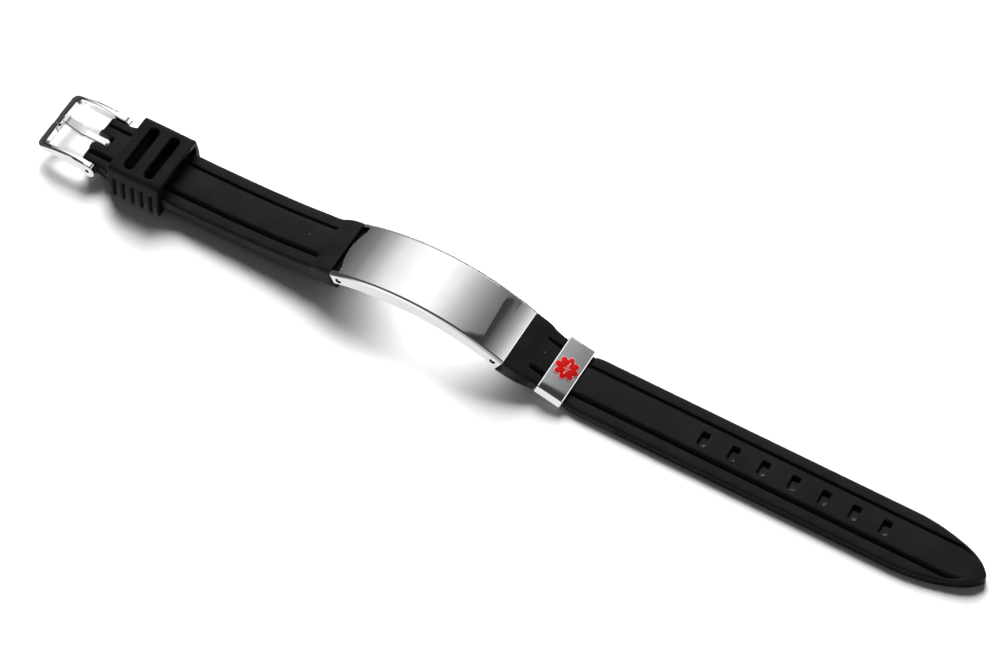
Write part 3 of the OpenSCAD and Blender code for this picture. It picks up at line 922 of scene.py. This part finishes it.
def buckle_strap(material):
    """The strap between the plate and the buckle, slotted at its end for the buckle's tongue."""
    # Columns: share of the way, of the rise and of the thickness, extra width and the grooves' relief
    run = [
        [-0.060, 1.36, 1.50, 1.0, 0],
        [0.000, 1.00, 1.34, 1.0, 0],
        [0.022, 0.95, 1.36, 1.0, 0],
        [0.040, 0.89, 1.36, 0.8, 0],
        [0.058, 0.80, 1.34, 0.5, 0],
        [0.072, 0.71, 1.32, 0.2, 0],
        [0.086, 0.65, 1.30, 0.1, 1],
        [0.110, 0.58, 1.28, 0.0, 1],
        [0.150, 0.50, 1.27, 0.0, 1],
        [0.200, 0.39, 1.24, 0.0, 1],
        [0.260, 0.28, 1.19, 0.0, 1],
        [0.320, 0.20, 1.14, 0.0, 1],
        [0.390, 0.13, 1.10, 0.0, 1],
        [0.470, 0.07, 1.05, 0.0, 1],
        [0.560, 0.03, 1.02, 0.0, 1],
        [0.640, 0.00, 1.00, 0.0, 1],
    ]
    # Columns: share of the end's length past the bar, of the thickness and width, and the relief
    end = [
        [-0.75, 1.00, 1.00, 1],
        [0.00, 1.00, 1.00, 1],
        [0.50, 0.97, 1.00, 1],
        [0.64, 0.92, 0.99, 0],
        [0.77, 0.80, 0.97, 0],
        [0.80, 0.77, 0.43, 0],
        [0.92, 0.66, 0.42, 0],
        [1.00, 0.42, 0.40, 0],
    ]
    reach = buckle_end.x - bar.x
    base = bar.z - bar_rise
    flat = base + buckle_strap_t
    rows = []
    for way, rise, thick, extra, relief in run:
        top = flat + rise * (buckle_end.z - flat)
        width = strap_w + extra * (block_w - strap_w)
        rows.append([buckle_end.x - way * reach, top, top - thick * buckle_strap_t, width / 2, relief])
    rows.append([bar.x + shoulder_l, flat, base, strap_w / 2, 1])
    for way, thick, width, relief in end:
        half = thick * buckle_strap_t / 2
        rows.append([bar.x - way * strap_end_l, bar.z + half, bar.z - half, width * strap_end_w / 2, relief])
    rows.reverse()
    fine_x = bar.x + fine_zone
    places = np.concatenate([np.linspace(rows[0][0], bar.x, 46), np.linspace(bar.x, fine_x, 26)[1:],
                             np.linspace(fine_x, rows[-1][0], 150)[1:]])
    strap = loft("buckle_strap", [strap_ring(*values) for values in read_rows(rows, places)])
    fit_to_plate(strap, buckle_end, buckle_angle, -1)
    slot = slot_cutter(strap_end_l, shank_w / 2 + slot_gap, slot_corner, base - 1, flat, slot_mouth)
    cut_row(strap, slot, (bar.x + eye_r + slot_reach - strap_end_l, 0, 0), material)
    bore(strap, bar_r + seat_gap, bar, material)
    bore(strap, pin_r + seat_gap, buckle_pin, material)
    finish_piece(strap, "buckle_strap", material)


def closed_band(name, outer, inner, length, rounding, bend):
    """A loop with a wall: outer and inner outlines in Y and Z, rounded at both ends, shaped by bend."""
    end = [(rounding * (1 - sin(t)), rounding * (1 - cos(t))) for t in angles(0, 90, 6)]
    plain = np.linspace(rounding, length - rounding, 110)[1:-1]
    wall = [(x, into, False) for x, into in end[::-1]] + [(x, 0, False) for x in plain]
    wall += [(length - x, into, False) for x, into in end]
    wall += [(length - x, into, True) for x, into in end[::-1]] + [(x, 0, True) for x in plain[::-6]]
    wall += [(x, into, True) for x, into in end]
    gap = inner - outer
    depth = np.linalg.norm(gap, axis=1)[:, None]
    rings = []
    for x, into, inside in wall:
        line = inner - gap / depth * into if inside else outer + gap / depth * into
        rings.append([bend(x, y, z, inside) for y, z in line])
    table = np.reshape(rings, (len(rings) * len(outer), -1))
    # A fourth value from the bend, where there is one, is kept as the mask for painted shade
    masks = [("groove", table[:, 3])] if table.shape[1] > 3 else ()
    return mesh_piece(name, table[:, :3], quads(len(rings), len(outer), round_rows=True), masks)


def keeper_loop(material):
    """The rubber loop on the buckle strap, with two slots on top and ribbed sides."""
    half, top_z = keeper_high.y, keeper_high.z
    length = keeper_high.x - keeper_low.x
    middle = (keeper_low.x + keeper_high.x) / 2
    inner_half, ceiling = half - keeper_side, top_z - keeper_wall
    flute_top = top_z - keeper_slope_h / 2

    def sampled(corners):
        line = rounded(corners, 6)
        steps = np.concatenate([[0], np.cumsum(np.linalg.norm(np.diff(line, axis=0), axis=1))])
        at = np.linspace(0, steps[-1], 80)
        side = np.column_stack([np.interp(at, steps, line[:, 0]), np.interp(at, steps, line[:, 1])])
        return np.vstack([side, side[-2:0:-1] * [-1, 1]])

    low_r, shoulder_r, top_r, inner_r, ceiling_r = 0.7, 2.0, 0.9, 0.4, 0.5
    outer = sampled([(0, 0, 0), (half, 0, low_r), (half, top_z - keeper_slope_h, shoulder_r),
                     (half - keeper_slope_w, top_z, top_r), (0, top_z, 0)])
    inner = sampled([(0, keeper_wall, 0), (inner_half, keeper_wall, inner_r),
                     (inner_half, ceiling, ceiling_r), (0, ceiling, 0)])

    def bend(x, y, z, inside):
        depth = 0
        if not inside and abs(y) > inner_half:
            nearest = round((x + keeper_low.x - middle) / flute_pitch + (flute_count - 1) / 2)
            nearest = min(max(nearest, 0), flute_count - 1)
            away = abs(x + keeper_low.x - middle - (nearest - (flute_count - 1) / 2) * flute_pitch)
            groove = 0.5 + 0.5 * cos(pi * min(away / (flute_r * flute_spread), 1))
            depth = flute_depth * groove ** flute_blunt * eased(ramp(flute_top - z, 0, flute_fade_h))
            y -= copysign(depth, y)
        # The fourth value is the mask for painted shade in the flutes, by their depth
        return (x + keeper_low.x, y, z, flute_shade * depth / flute_depth)

    loop = closed_band("keeper_loop", outer, inner, length, keeper_end_r, bend)
    slot = slot_cutter(keeper_slot_w / 2, keeper_slot_l / 2, keeper_slot_w / 2 - 0.001,
                       top_z - 1.5 * keeper_wall, top_z, keeper_slot_mouth, 12)
    cut_row(loop, slot, (middle - keeper_slot_pitch / 2, 0, 0), material, 2, (keeper_slot_pitch, 0, 0))
    finish_piece(loop, "keeper_loop", material)


# The plate

def sweep_tree():
    """Sweeps a section, given as a closed line of edges, along an arc that stands upright."""
    tree, given = geometry_tree("sweep_on_arc", {"Radius": "Float", "Start": "Float", "Sweep": "Float"})
    arc = put(tree, "GeometryNodeCurveArc", {
        "Resolution": 181, "Radius": given["Radius"], "Start Angle": given["Start"],
        "Sweep Angle": given["Sweep"]}, mode="RADIUS")
    section = put(tree, "GeometryNodeMeshToCurve", {"Mesh": given["Geometry"]})
    swept = put(tree, "GeometryNodeCurveToMesh", {
        "Curve": arc.outputs[0], "Profile Curve": section.outputs[0], "Fill Caps": True})
    upright = put(tree, "GeometryNodeTransform", {
        "Geometry": swept.outputs[0], "Rotation": (pi / 2, 0, 0)})
    close_tree(tree, upright.outputs[0], given["Material"])
    return tree


def trim_tree():
    """Cuts the plate's lower edge with a large cylinder, its pin holes at two places, and its recess."""
    tree, given = geometry_tree("plate_cuts", {
        "Width": "Float", "Low Radius": "Float", "Low Centre": "Vector", "Bore": "Object",
        "Pin Places": "Object", "Recess": "Object"})
    round_cut = put(tree, "GeometryNodeMeshCylinder", {
        "Vertices": 720, "Radius": given["Low Radius"], "Depth": given["Width"]}).outputs["Mesh"]
    low = put(tree, "GeometryNodeTransform", {
        "Geometry": round_cut, "Rotation": (pi / 2, 0, 0), "Translation": given["Low Centre"]})
    bores = stand_at(tree, shape_of(tree, given["Pin Places"]), shape_of(tree, given["Bore"]))
    cut_shapes(tree, given, [low.outputs[0], bores, shape_of(tree, given["Recess"])])
    return tree


def plate_section():
    """The plate's section as edges: a rounded bevel on both sides of the top, two walls and the channel."""
    half, inner = plate_w / 2, channel_w / 2
    low, ceiling = -2 * wall_mid_h, -plate_t
    wall_r, top_r = 0.08, 0.26
    outer = rounded([
        (low, -half, 0), (-plate_bevel, -half, wall_r), (0, plate_bevel - half, top_r),
        (0, half - plate_bevel, top_r), (-plate_bevel, half, wall_r), (low, half, 0)])
    corners = np.vstack([outer, [(low, inner), (ceiling, inner), (ceiling, -inner), (low, -inner)]])
    mesh = bpy.data.meshes.new("id_plate")
    count = len(corners)
    mesh.from_pydata([(r * MM, y * MM, 0) for r, y in corners],
                     [(i, (i + 1) % count) for i in range(count)], [])
    return new_object("id_plate", mesh)


def id_plate(material):
    """The curved plate: a section swept on an arc, then its lower edge, its holes and its recess."""
    plate = plate_section()
    run_tree(plate, sweep_tree(), {
        "Radius": plate_r * MM, "Start": radians(90 - tail_angle), "Sweep": radians(2 * half_angle),
        "Material": material})
    merge_points(plate.data)
    soften(plate, plate_end_r, angle=60, segments=3)
    low_mid, low_end = plate_r - wall_mid_h, plate_r - wall_end_h
    drop = (low_end ** 2 - low_mid ** 2) / 2 / (low_mid - low_end * cos(radians(half_angle)))
    turn = radians(plate_lean)
    mesh = bpy.data.meshes.new("pin_places")
    mesh.from_pydata([(place - arc_centre) * MM for place in (tail_pin, buckle_pin)], [], [])
    tools = {"Pin Places": new_object("pin_places", mesh), "Recess": recess_cutter(), "Bore": pin_bore()}
    run_tree(plate, trim_tree(), {
        "Width": (plate_w + 2) * MM, "Low Radius": (low_mid + drop) * MM,
        "Low Centre": (-drop * sin(turn) * MM, 0, -drop * cos(turn) * MM), "Material": material, **tools})
    for tool in tools.values():
        bpy.data.objects.remove(tool)
    plate.data.transform(Matrix.Translation(arc_centre * MM))
    merge_points(plate.data)
    finish_piece(plate, "id_plate", material, sharp=30, flat=True)


def pin_bore():
    """The cutter for a pin's hole, with a small countersink at both ends."""
    half, r, spare = plate_w / 2, pin_r + turn_gap, 1
    side = [(half + spare, r + sink_w), (half, r + sink_w), (half - sink_depth, r)]
    return turned("bore", [(-y, radius) for y, radius in side] + side[::-1])


def recess_cutter():
    """The cutter for the recess at the plate's buckle end, bent to the arc, which leaves a crowned edge."""
    half = channel_w / 2 + side_gap / 2
    past_end, below_top = 2, 3

    def edge(y):
        return recess_l - recess_crown * (1 - min((y / recess_shoulder) ** 2, 1))

    def ring(out, up):
        line = [(-past_end, half + out), (-past_end, -half - out)]
        line += [(edge(y) + out, y * (1 + out / half)) for y in np.linspace(-half, half, 61)]
        points = []
        for along, y in line:
            point = on_arc(plate_r + up, buckle_angle + degrees(along / plate_r)) - arc_centre
            points.append((point.x, y, point.z))
        return points

    rings = [ring(0, -below_top)]
    rings += [ring(recess_mouth * (1 - cos(t)), recess_mouth * (sin(t) - 1)) for t in angles(0, 90, 6)]
    return loft("recess", rings + [ring(recess_mouth, 1)])


def dome(half, r, height):
    """Profile of a rod with domed ends."""
    end = [(half - height + height * cos(t), r * sin(t)) for t in angles(8, 90, 6)]
    return [(-y, radius) for y, radius in end] + end[::-1]


def plate_pins(material):
    """The two pins that hold the straps in the plate's ends."""
    for name, place in (("plate_pin_tail", tail_pin), ("plate_pin_buckle", buckle_pin)):
        pin = turned(name, dome(plate_w / 2 - pin_sunk, pin_r, pin_dome), place)
        finish_piece(pin, name, material)


# The sleeve and its badge

def top_drop(x):
    """How far the sleeve's top falls away towards its upper end, at x from that end."""
    way = x / sleeve_l
    return sleeve_crown * (1 - way) ** 2


def camber(y):
    """How far the sleeve's top falls away towards its two sides."""
    return sleeve_camber * max(0, abs(y) - camber_start) ** 2


def slider_sleeve(material):
    """The steel sleeve, a rounded rectangle with a slightly crowned top."""

    def band(inset, corner):
        line = rounded_box(sleeve_w / 2 - inset, sleeve_h / 2 - inset, corner, 6)
        # More points along the top, two of them close to its corners, which keep its shading even
        ways = np.concatenate([[0.004], np.linspace(0, 1, 30)[1:-1], [0.996]])[:, None]
        return np.vstack([line[:7], line[6] + (line[7] - line[6]) * ways, line[7:]])

    def bend(x, y, z, inside):
        drop = 0
        if z > 0 and not inside:
            drop = top_drop(x) + camber(y)
            drop += lower_edge_fall * max(0, sleeve_edge - x)
            drop += upper_edge_fall * max(0, x - sleeve_l + sleeve_edge)
        point = in_sleeve(x - sleeve_l, z + sleeve_h / 2 - drop)
        return (point.x, y, point.z)

    outer, inner = band(0, sleeve_corner), band(sleeve_wall, sleeve_inner_corner)
    sleeve = closed_band("slider_sleeve", outer, inner, sleeve_l, sleeve_end_r, bend)
    finish_piece(sleeve, "slider_sleeve", material, flat=True)


def badge_outline(r, offset=0.0):
    """A rosette of round lobes, drawn in from its edge by an offset."""
    lobe = lobe_share * r
    ring = r - lobe
    step = 2 * pi / badge_lobes
    line = []
    for turn in np.linspace(0, 2 * pi, badge_lobes * 24, endpoint=False):
        away = (turn + step / 2) % step - step / 2
        spare = lobe ** 2 - (ring * sin(away)) ** 2
        reach = ring * cos(away) + sqrt(spare) if spare > 0 else ring
        radius = max(reach, ring) - offset
        line.append((radius * cos(turn), radius * sin(turn)))
    return np.array(line)


def on_sleeve(x, y, up):
    """A point on the sleeve's top, by its place from the middle of that top."""
    point = in_sleeve(x - sleeve_l / 2, sleeve_h + up - top_drop(x + sleeve_l / 2))
    return (point.x, y, point.z)


def enamel_badge(red, rim, white):
    """A red enamel rosette in a pale rim with a plain white pulse line across it."""

    def stack(name, node, material, levels):
        rings = [[on_sleeve(x, y, glue_gap + up) for x, y in badge_outline(badge_d / 2, inset)]
                 for inset, up in levels]
        finish_piece(loft(name, rings), node, material)

    stack("enamel_badge", "enamel_badge", rim, [
        (0, 0), (0, badge_t - 0.05), (0.05, badge_t), (badge_rim_w, badge_t), (badge_rim_w, badge_t - 0.06)])
    stack("badge_enamel", None, red, [
        (badge_rim_w, badge_t - 0.07), (badge_rim_w + 0.03, badge_t - 0.03), (badge_rim_w + 0.15, badge_t),
        (1.2, badge_t + 0.01)])
    pulse = np.array([(-1.5, 0), (-0.75, 0), (-0.5, 0.35), (-0.2, -0.7), (0.15, 0.75), (0.45, -0.35),
                      (0.65, 0), (1.5, 0)])
    rings = []
    for i, (y, x) in enumerate(pulse):
        along = pulse[min(i + 1, len(pulse) - 1)] - pulse[max(i - 1, 0)]
        along /= np.linalg.norm(along)
        side = np.array([-along[1], along[0]]) * pulse_w / 2
        rings.append([on_sleeve(x + side[1] * share, y + side[0] * share, glue_gap + badge_t + up)
                      for share, up in ((-1, 0), (-0.8, pulse_rise), (0.8, pulse_rise), (1, 0))])
    finish_piece(loft("badge_pulse_line", rings), None, white)


# The buckle

def under_z(x):
    """Height of the frame's underside at x, both measured from the spring bar."""
    return -under_h - x * tan(radians(under_rise))


arch_drop = crown_h - under_z(-frame_l) - front_h
arch_r = ((frame_l - crown_reach) ** 2 + arch_drop ** 2) / 2 / arch_drop


def arch_z(x):
    """Height of the frame's arched top at x, both measured from the spring bar."""
    return crown_h - arch_r + sqrt(arch_r ** 2 - (x + crown_reach) ** 2)


def notch_z(x):
    """Height of the floor of the frame's notch at x."""
    return arch_z(front_x) - notch_depth + (x - front_x) * tan(radians(notch_slope))


def frame_outline(end_x, half, corner):
    """Points along the frame from a lug round its corner to the front bar's middle, and back, from above."""
    corner_x = end_x + corner
    line = [(lug_r * cos(t), half) for t in angles(2, 90, 10)]
    line += [(t * corner_x, half) for t in np.linspace(0, 1, 40)[1:]]
    line += [(corner_x - corner * sin(t), half - corner * (1 - cos(t))) for t in angles(0, 90, 12)[1:]]
    line += [(end_x, (half - corner) * (1 - t)) for t in np.linspace(0, 1, 14)[1:]]
    return line + [(x, -y) for x, y in line[-2::-1]]


def frame_ring(outer, inner):
    """The frame's section between two points: its top, sloping outwards on the arms, and a bevel inside."""
    outer, inner = np.array(outer), np.array(inner)
    span = np.linalg.norm(inner - outer)

    def heights(way):
        x = outer[0] + (inner[0] - outer[0]) * way
        round_lug = sqrt(max(lug_r ** 2 - x * x, 0))
        if x > 0:
            return round_lug, -round_lug
        return max(arch_z(x), round_lug), min(under_z(x), -round_lug if -x < lug_r else 9)

    on_arm = abs(inner[1] - outer[1]) / span
    # The bevel and the slope start behind the lugs and grow towards the front
    bevel = front_bevel + (arm_bevel - front_bevel) * on_arm
    bevel *= bevel_least + (1 - bevel_least) * ramp(-outer[0], bevel_start, bevel_run)
    slope = arm_slope * on_arm ** 2 * ramp(-outer[0], slope_start, slope_run)
    crest, edge = crest_share + 0.05 * (1 - on_arm), 1 - bevel / span
    (top_out, low_out), (top_in, low_in) = heights(0), heights(1)
    top_edge = heights(edge)[0]
    bevel_z = max(top_edge - bevel_rise * bevel, low_in + 0.3 * (top_in - low_in))
    # Lines next to the crest and the bevel keep the top's shading flat
    near, far = crest + 0.1, edge - 0.08
    across = [(0, low_out, 0), (0, top_out - slope, 0.12), (crest, heights(crest)[0], 0.1),
              (near, heights(near)[0], 0), (far, heights(far)[0], 0), (edge, top_edge, 0.06),
              (1, bevel_z, 0.08), (1, low_in, 0)]
    line = rounded([(way * span, z, reach) for way, z, reach in across], 4)
    return [(*(outer + (inner - outer) * way / span), z) for way, z in line]


def buckle_frame(material):
    """The buckle's frame: two arms with round lugs, a front bar and a notch for the tongue's tip."""
    half = strap_end_w / 2 + side_gap
    pairs = zip(frame_outline(-frame_l, half + arm_w, corner_r), frame_outline(front_x, half, window_r))
    rings = [[(bar.x + x, y, bar.z + z) for x, y, z in frame_ring(*pair)] for pair in pairs]
    piece = loft("buckle_frame", rings)
    notch_half = tongue_w / 2 + notch_gap
    ends = (front_x + 1, -frame_l - 1)
    outline = [(x, notch_z(x)) for x in ends] + [(x, 4) for x in ends[::-1]]
    cutter = loft("cutter", [[(x, y, z) for x, z in outline] for y in (-notch_half, notch_half)])
    cut_row(piece, cutter, bar, material)
    bore(piece, bar_tip_r + turn_gap, bar, material)
    merge_points(piece.data)
    finish_piece(piece, "buckle_frame", material, body="frame", sharp=35, flat=True)


def buckle_tongue(material):
    """The tongue: an eye round the spring bar, a narrow shank, a step up to a bend and a tip in the notch."""
    step_h = eye_r + step_rise
    bend_x = front_x + bend_gap
    end_x = tongue_inset - frame_l
    rest_x = front_x - tip_bend_in
    wide, narrow = tongue_w / 2, shank_w / 2
    # Columns: x from the bar, top, thickness and half width
    rows = [
        [end_x, notch_z(end_x) + seat_gap + tip_t, tip_t, wide - 0.1],
        [rest_x, notch_z(rest_x) + seat_gap + tip_t * 1.3, tip_t * 1.3, wide],
        [bend_x, bend_h, tongue_t, wide],
        [bend_x + 1.0, bend_h - 0.36, tongue_t, wide],
        [-step_x - 0.2, step_h + 0.07, tongue_t, wide],
        [-step_x + 0.25, step_h - 0.05, shank_t, narrow],
        [-eye_r, eye_r, shank_t, narrow],
        [0, eye_r, shank_t * 0.55, narrow],
    ]
    rings = []
    for x, top, thick, half in read_rows(rows, np.linspace(end_x, 0, 90)):
        corner = min(thick * 0.42, 0.3) if x > front_x else 0.12
        outline = rounded_box(half, thick / 2, corner, 5)
        support = [(s * (half - corner - 0.04), thick / 2) for s in (1, -1)]
        outline = np.vstack([outline[:6], support, outline[6:]])
        rings.append([(bar.x + x, y, bar.z + top - thick / 2 + z) for y, z in outline])
    tongue = loft("buckle_tongue", rings)
    # Columns: share of the eye's half width and how far its end is rounded off there
    falls = ((0, 0), (0.3, 0), (0.6, 0), (0.75, 0.01), (0.88, 0.05), (0.96, 0.12), (1, 0.22))
    barrel = [(share * narrow, eye_r - eye_crown * share ** 2 - fall) for share, fall in falls]
    barrel = [(-y, r) for y, r in barrel[:0:-1]] + barrel
    join(tongue, turned("eye", barrel, bar, 64))
    bore(tongue, bar_r + turn_gap, bar, material)
    merge_points(tongue.data)
    finish_piece(tongue, "buckle_tongue", material, body="tongue", sharp=35, flat=True)


def spring_bar(material):
    """The bar through the strap's end, with a narrower tip at each end."""
    body = strap_end_w / 2 + side_gap - seat_gap
    tip = body + arm_w - tip_short
    side = [(body - bar_chamfer, bar_r), (body, bar_r - bar_chamfer), (body, bar_tip_r),
            (tip - tip_chamfer, bar_tip_r), (tip, bar_tip_r - tip_chamfer)]
    rod = turned("spring_bar", [(-y, r) for y, r in side[::-1]] + side, bar)
    finish_piece(rod, "spring_bar", material)


# Light, floor and camera

def staged_sheet(name, corners, material):
    """A flat sheet in the scene that isn't part of the object."""
    mesh = bpy.data.meshes.new(name)
    mesh.from_pydata([[v * MM for v in corner] for corner in corners], [], [tuple(range(len(corners)))])
    mesh.materials.append(material)
    sheet = new_object(name, mesh)
    return sheet


def card(name, outline, height, stops, strength):
    """A flat card that only reflections see, with brightness that changes along X between stops."""
    material, tree, place = new_material(name)
    low, high = stops[0][0], stops[-1][0]
    along = parts_of(tree, place)["X"]
    gradient = put(tree, "ShaderNodeValToRGB", {"Fac": map_range(tree, along, low * MM, high * MM, 0, 1)})
    steps = gradient.color_ramp.elements
    while len(steps) < len(stops):
        steps.new(0.5)
    for step, (x, value) in zip(steps, stops):
        step.position = (x - low) / (high - low)
        step.color = grey(value)
    close_material(tree, "ShaderNodeEmission", {"Color": gradient.outputs["Color"], "Strength": strength})
    sheet = staged_sheet(name, [(x, y, height) for x, y in outline], material)
    sheet.visible_camera = False
    sheet.visible_diffuse = False
    sheet.visible_shadow = False
    sheet.visible_transmission = False


def reflecting_cards():
    """A long light panel above and behind, with its curved near edge, and a darker backing around it."""
    near_edge = [
        (-1500, 790), (-1347, 723), (-1091, 607), (-803, 470), (-714, 385), (-565, 335), (-445, 303),
        (-342, 282), (-250, 268), (-163, 262), (-89, 265), (-22, 278), (44, 291), (100, 303), (135, 310.5),
        (183, 319.6), (217, 326.2), (242, 332.4)]
    xs = np.linspace(-1500, 242, 70)
    panel = list(zip(xs, smooth_line(*zip(*near_edge), xs)))
    panel += [(250, 334), (254.5, 336), (248, 340), (242, 345.5), (235, 350), (240, 353.5), (260, 358.6),
              (285, 365), (340, 374), (340, 1400), (-2600, 1400), (-2600, 1200)]
    card("light_panel", panel, card_height, [
        (-1500, 0.07), (-1298, 0.09), (-1091, 0.115), (-803, 0.205), (-605, 0.42), (-455, 0.73), (-333, 0.88),
        (-229, 1.0), (-134, 1.0), (-89, 0.87), (-44, 0.77), (0, 0.61), (44, 0.467), (89, 0.36), (135, 0.275),
        (183, 0.198), (256, 0.13), (340, 0.1)], panel_strength)
    backing = [(-2600, 200), (2600, 200), (2600, 1600), (-2600, 1600)]
    card("dark_backing", backing, card_height + 10, [
        (-1500, 0.06), (-900, 0.03), (233, 0.03), (285, 0.045), (342, 0.165), (404, 0.34), (471, 0.64),
        (560, 0.95)], panel_strength)
    # Strips that glow only in reflections: near_strip and sleeve_strip stand in for a lit table in front of
    # the rubber's near sides and the steel's near walls, and far_strip is a dim sheet that darkens the far
    # table
    # Columns: name, both ends in X, both in Y, height and strength
    for name, x, x_end, y, y_end, height, strength in (
            ("far_panel", -60, 160, 368, 700, card_height - 3, 1.1),
            ("near_strip", -118, 6, -8.3, -70, 0.3, 0.95),
            ("sleeve_strip", 9, 30, -7.35, -25, 0.05, 0.85),
            ("far_strip", -125, 30, 13, 60, 0.3, 0.05)):
        corners = [(x, y), (x_end, y), (x_end, y_end), (x, y_end)]
        card(name, corners, height, [(x, 1), (x_end, 1)], strength)


def add_light(name, kind, place, target, **settings):
    """A light at a place, turned to a target, that reflections don't see."""
    light = bpy.data.lights.new(name, kind)
    for key, value in settings.items():
        setattr(light, key, value)
    lamp = new_object(name, light)
    turned_to = (Vector(place) - Vector(target)).to_track_quat("Z", "Y").to_matrix().to_4x4()
    lamp.matrix_world = Matrix.Translation(place) @ turned_to
    lamp.visible_glossy = False


def studio_surround():
    """A white surround, dim for diffuse light, that steel sees at its front and less at its right."""
    world = bpy.data.worlds.new("studio")
    world.use_nodes = True
    tree = world.node_tree
    tree.nodes.clear()
    ray = put(tree, "ShaderNodeLightPath").outputs
    look = parts_of(tree, put(tree, "ShaderNodeTexCoord").outputs["Generated"])
    front = map_range(tree, math_node(tree, "SUBTRACT", look["X"], look["Y"]), 0, 0.2, 0, 1)
    low = map_range(tree, look["Z"], 0.5, 0.65, 1, 0)
    to_right = map_range(tree, look["X"], -0.2, 0.15, 0, 1)
    to_front = map_range(tree, look["Y"], 0.1, -0.2, 0, 0.6)
    dimmed = math_node(tree, "SUBTRACT", 1.0, product(tree, to_right, to_front))
    gloss = product(tree, front, low, gloss_strength, dimmed, ray["Is Glossy Ray"])
    seen = product(tree, ray["Is Camera Ray"], seen_strength)
    strength = math_node(tree, "ADD", math_node(tree, "ADD", seen, gloss), diffuse_strength)
    background = put(tree, "ShaderNodeBackground", {"Color": grey(1), "Strength": strength})
    put(tree, "ShaderNodeOutputWorld", {"Surface": background.outputs[0]})
    bpy.context.scene.world = world


def soft_studio():
    """The surround, one large soft light above and behind, and a weak spot under the plate's arch."""
    studio_surround()
    add_light("overhead", "AREA", (-0.5, 0.78, 0.74), (0, 0, 0), shape="RECTANGLE", size=0.76, size_y=0.76,
              energy=37)
    add_light("under_plate", "SPOT", (-0.013, -0.15, 0.075), (-0.0135, -0.006, 0), spot_size=radians(14),
              spot_blend=1, shadow_soft_size=0.01, energy=2)
    bpy.context.scene.view_settings.view_transform = "Standard"


def white_table():
    """The plain white surface that the bracelet lies on."""
    material, tree = new_material("white_table")[:2]
    close_material(tree, "ShaderNodeBsdfDiffuse", {"Color": grey(table_tone)})
    corners = [(x * table_reach, y * table_reach, 0) for x, y in ((-1, -1), (1, -1), (1, 1), (-1, 1))]
    staged_sheet("table", corners, material)


def photo_camera():
    """A long lens that looks down on the bracelet from the near right."""
    tilt, turn = radians(camera_tilt), radians(camera_turn)
    back = Vector((sin(turn) * cos(tilt), -cos(turn) * cos(tilt), sin(tilt)))
    right = Vector((cos(turn), sin(turn), 0))
    data = bpy.data.cameras.new("camera")
    data.sensor_width = 36
    data.lens = camera_lens
    data.clip_start = 0.01
    camera = new_object("camera", data)
    facing = Matrix((right, back.cross(right), back)).transposed().to_4x4()
    place = Vector(camera_aim) + back * camera_distance
    camera.matrix_world = Matrix.Translation(place * MM) @ facing
    bpy.context.scene.camera = camera


grain_group_tree = grain_group()
dust_group_tree = dust_group()
wipe_group_tree = wipe_group()
shade_ring_group_tree = shade_ring_group()
slit_group_tree = slit_group()
cut_tree = row_of_cuts()

strap_silicone = silicone("strap_silicone", tone=0.0072, specular=0.13, groove_shade=0.85)
keeper_silicone = silicone("keeper_silicone", tone=0.006, specular=0.12, groove_shade=0.75)
# Painted shade in the gap round each plate pin's end, over the spring bar's ends in the lugs, and in the
# slits beside the tongue's tip
pin_shade = [(shade_ring_group_tree, {"Axis": pin, "Inner": 0.42, "Outer": 0.71, "Width": 6.3})
             for pin in (tail_pin, buckle_pin)]
buckle_shade = [
    (shade_ring_group_tree, {"Axis": bar, "Inner": 0, "Outer": 0.5, "Width": 6.6}),
    (slit_group_tree, {"Inner": 1.17, "Outer": 1.29, "End": bar.x + front_x - 0.1})]
plate_steel = polished_steel("plate_steel", tone=0.82, roughness=0.015, marks=(400, 9000, 400),
                             painted_shades=pin_shade)
pin_steel = polished_steel("pin_steel", tone=0.8, roughness=0.1, marks=(700, 700, 700), painted_shades=pin_shade)
sleeve_steel = polished_steel("sleeve_steel", tone=0.95, roughness=0.03, marks=(9000, 400, 9000))
buckle_steel = polished_steel("buckle_steel", tone=0.86, roughness=0.04, marks=(700, 7000, 700),
                              painted_shades=buckle_shade)
red_enamel = enamel("red_enamel", (0.5, 0.005, 0.004), roughness=0.3)
rim_enamel = enamel("badge_rim", (0.8, 0.5, 0.5), roughness=0.35)
white_enamel = enamel("badge_white", (0.85, 0.85, 0.85), roughness=0.4)

photo_camera()
soft_studio()
white_table()
reflecting_cards()
tail_strap(strap_silicone)
buckle_strap(strap_silicone)
keeper_loop(keeper_silicone)
id_plate(plate_steel)
plate_pins(pin_steel)
slider_sleeve(sleeve_steel)
enamel_badge(red_enamel, rim_enamel, white_enamel)
buckle_frame(buckle_steel)
buckle_tongue(buckle_steel)
spring_bar(buckle_steel)
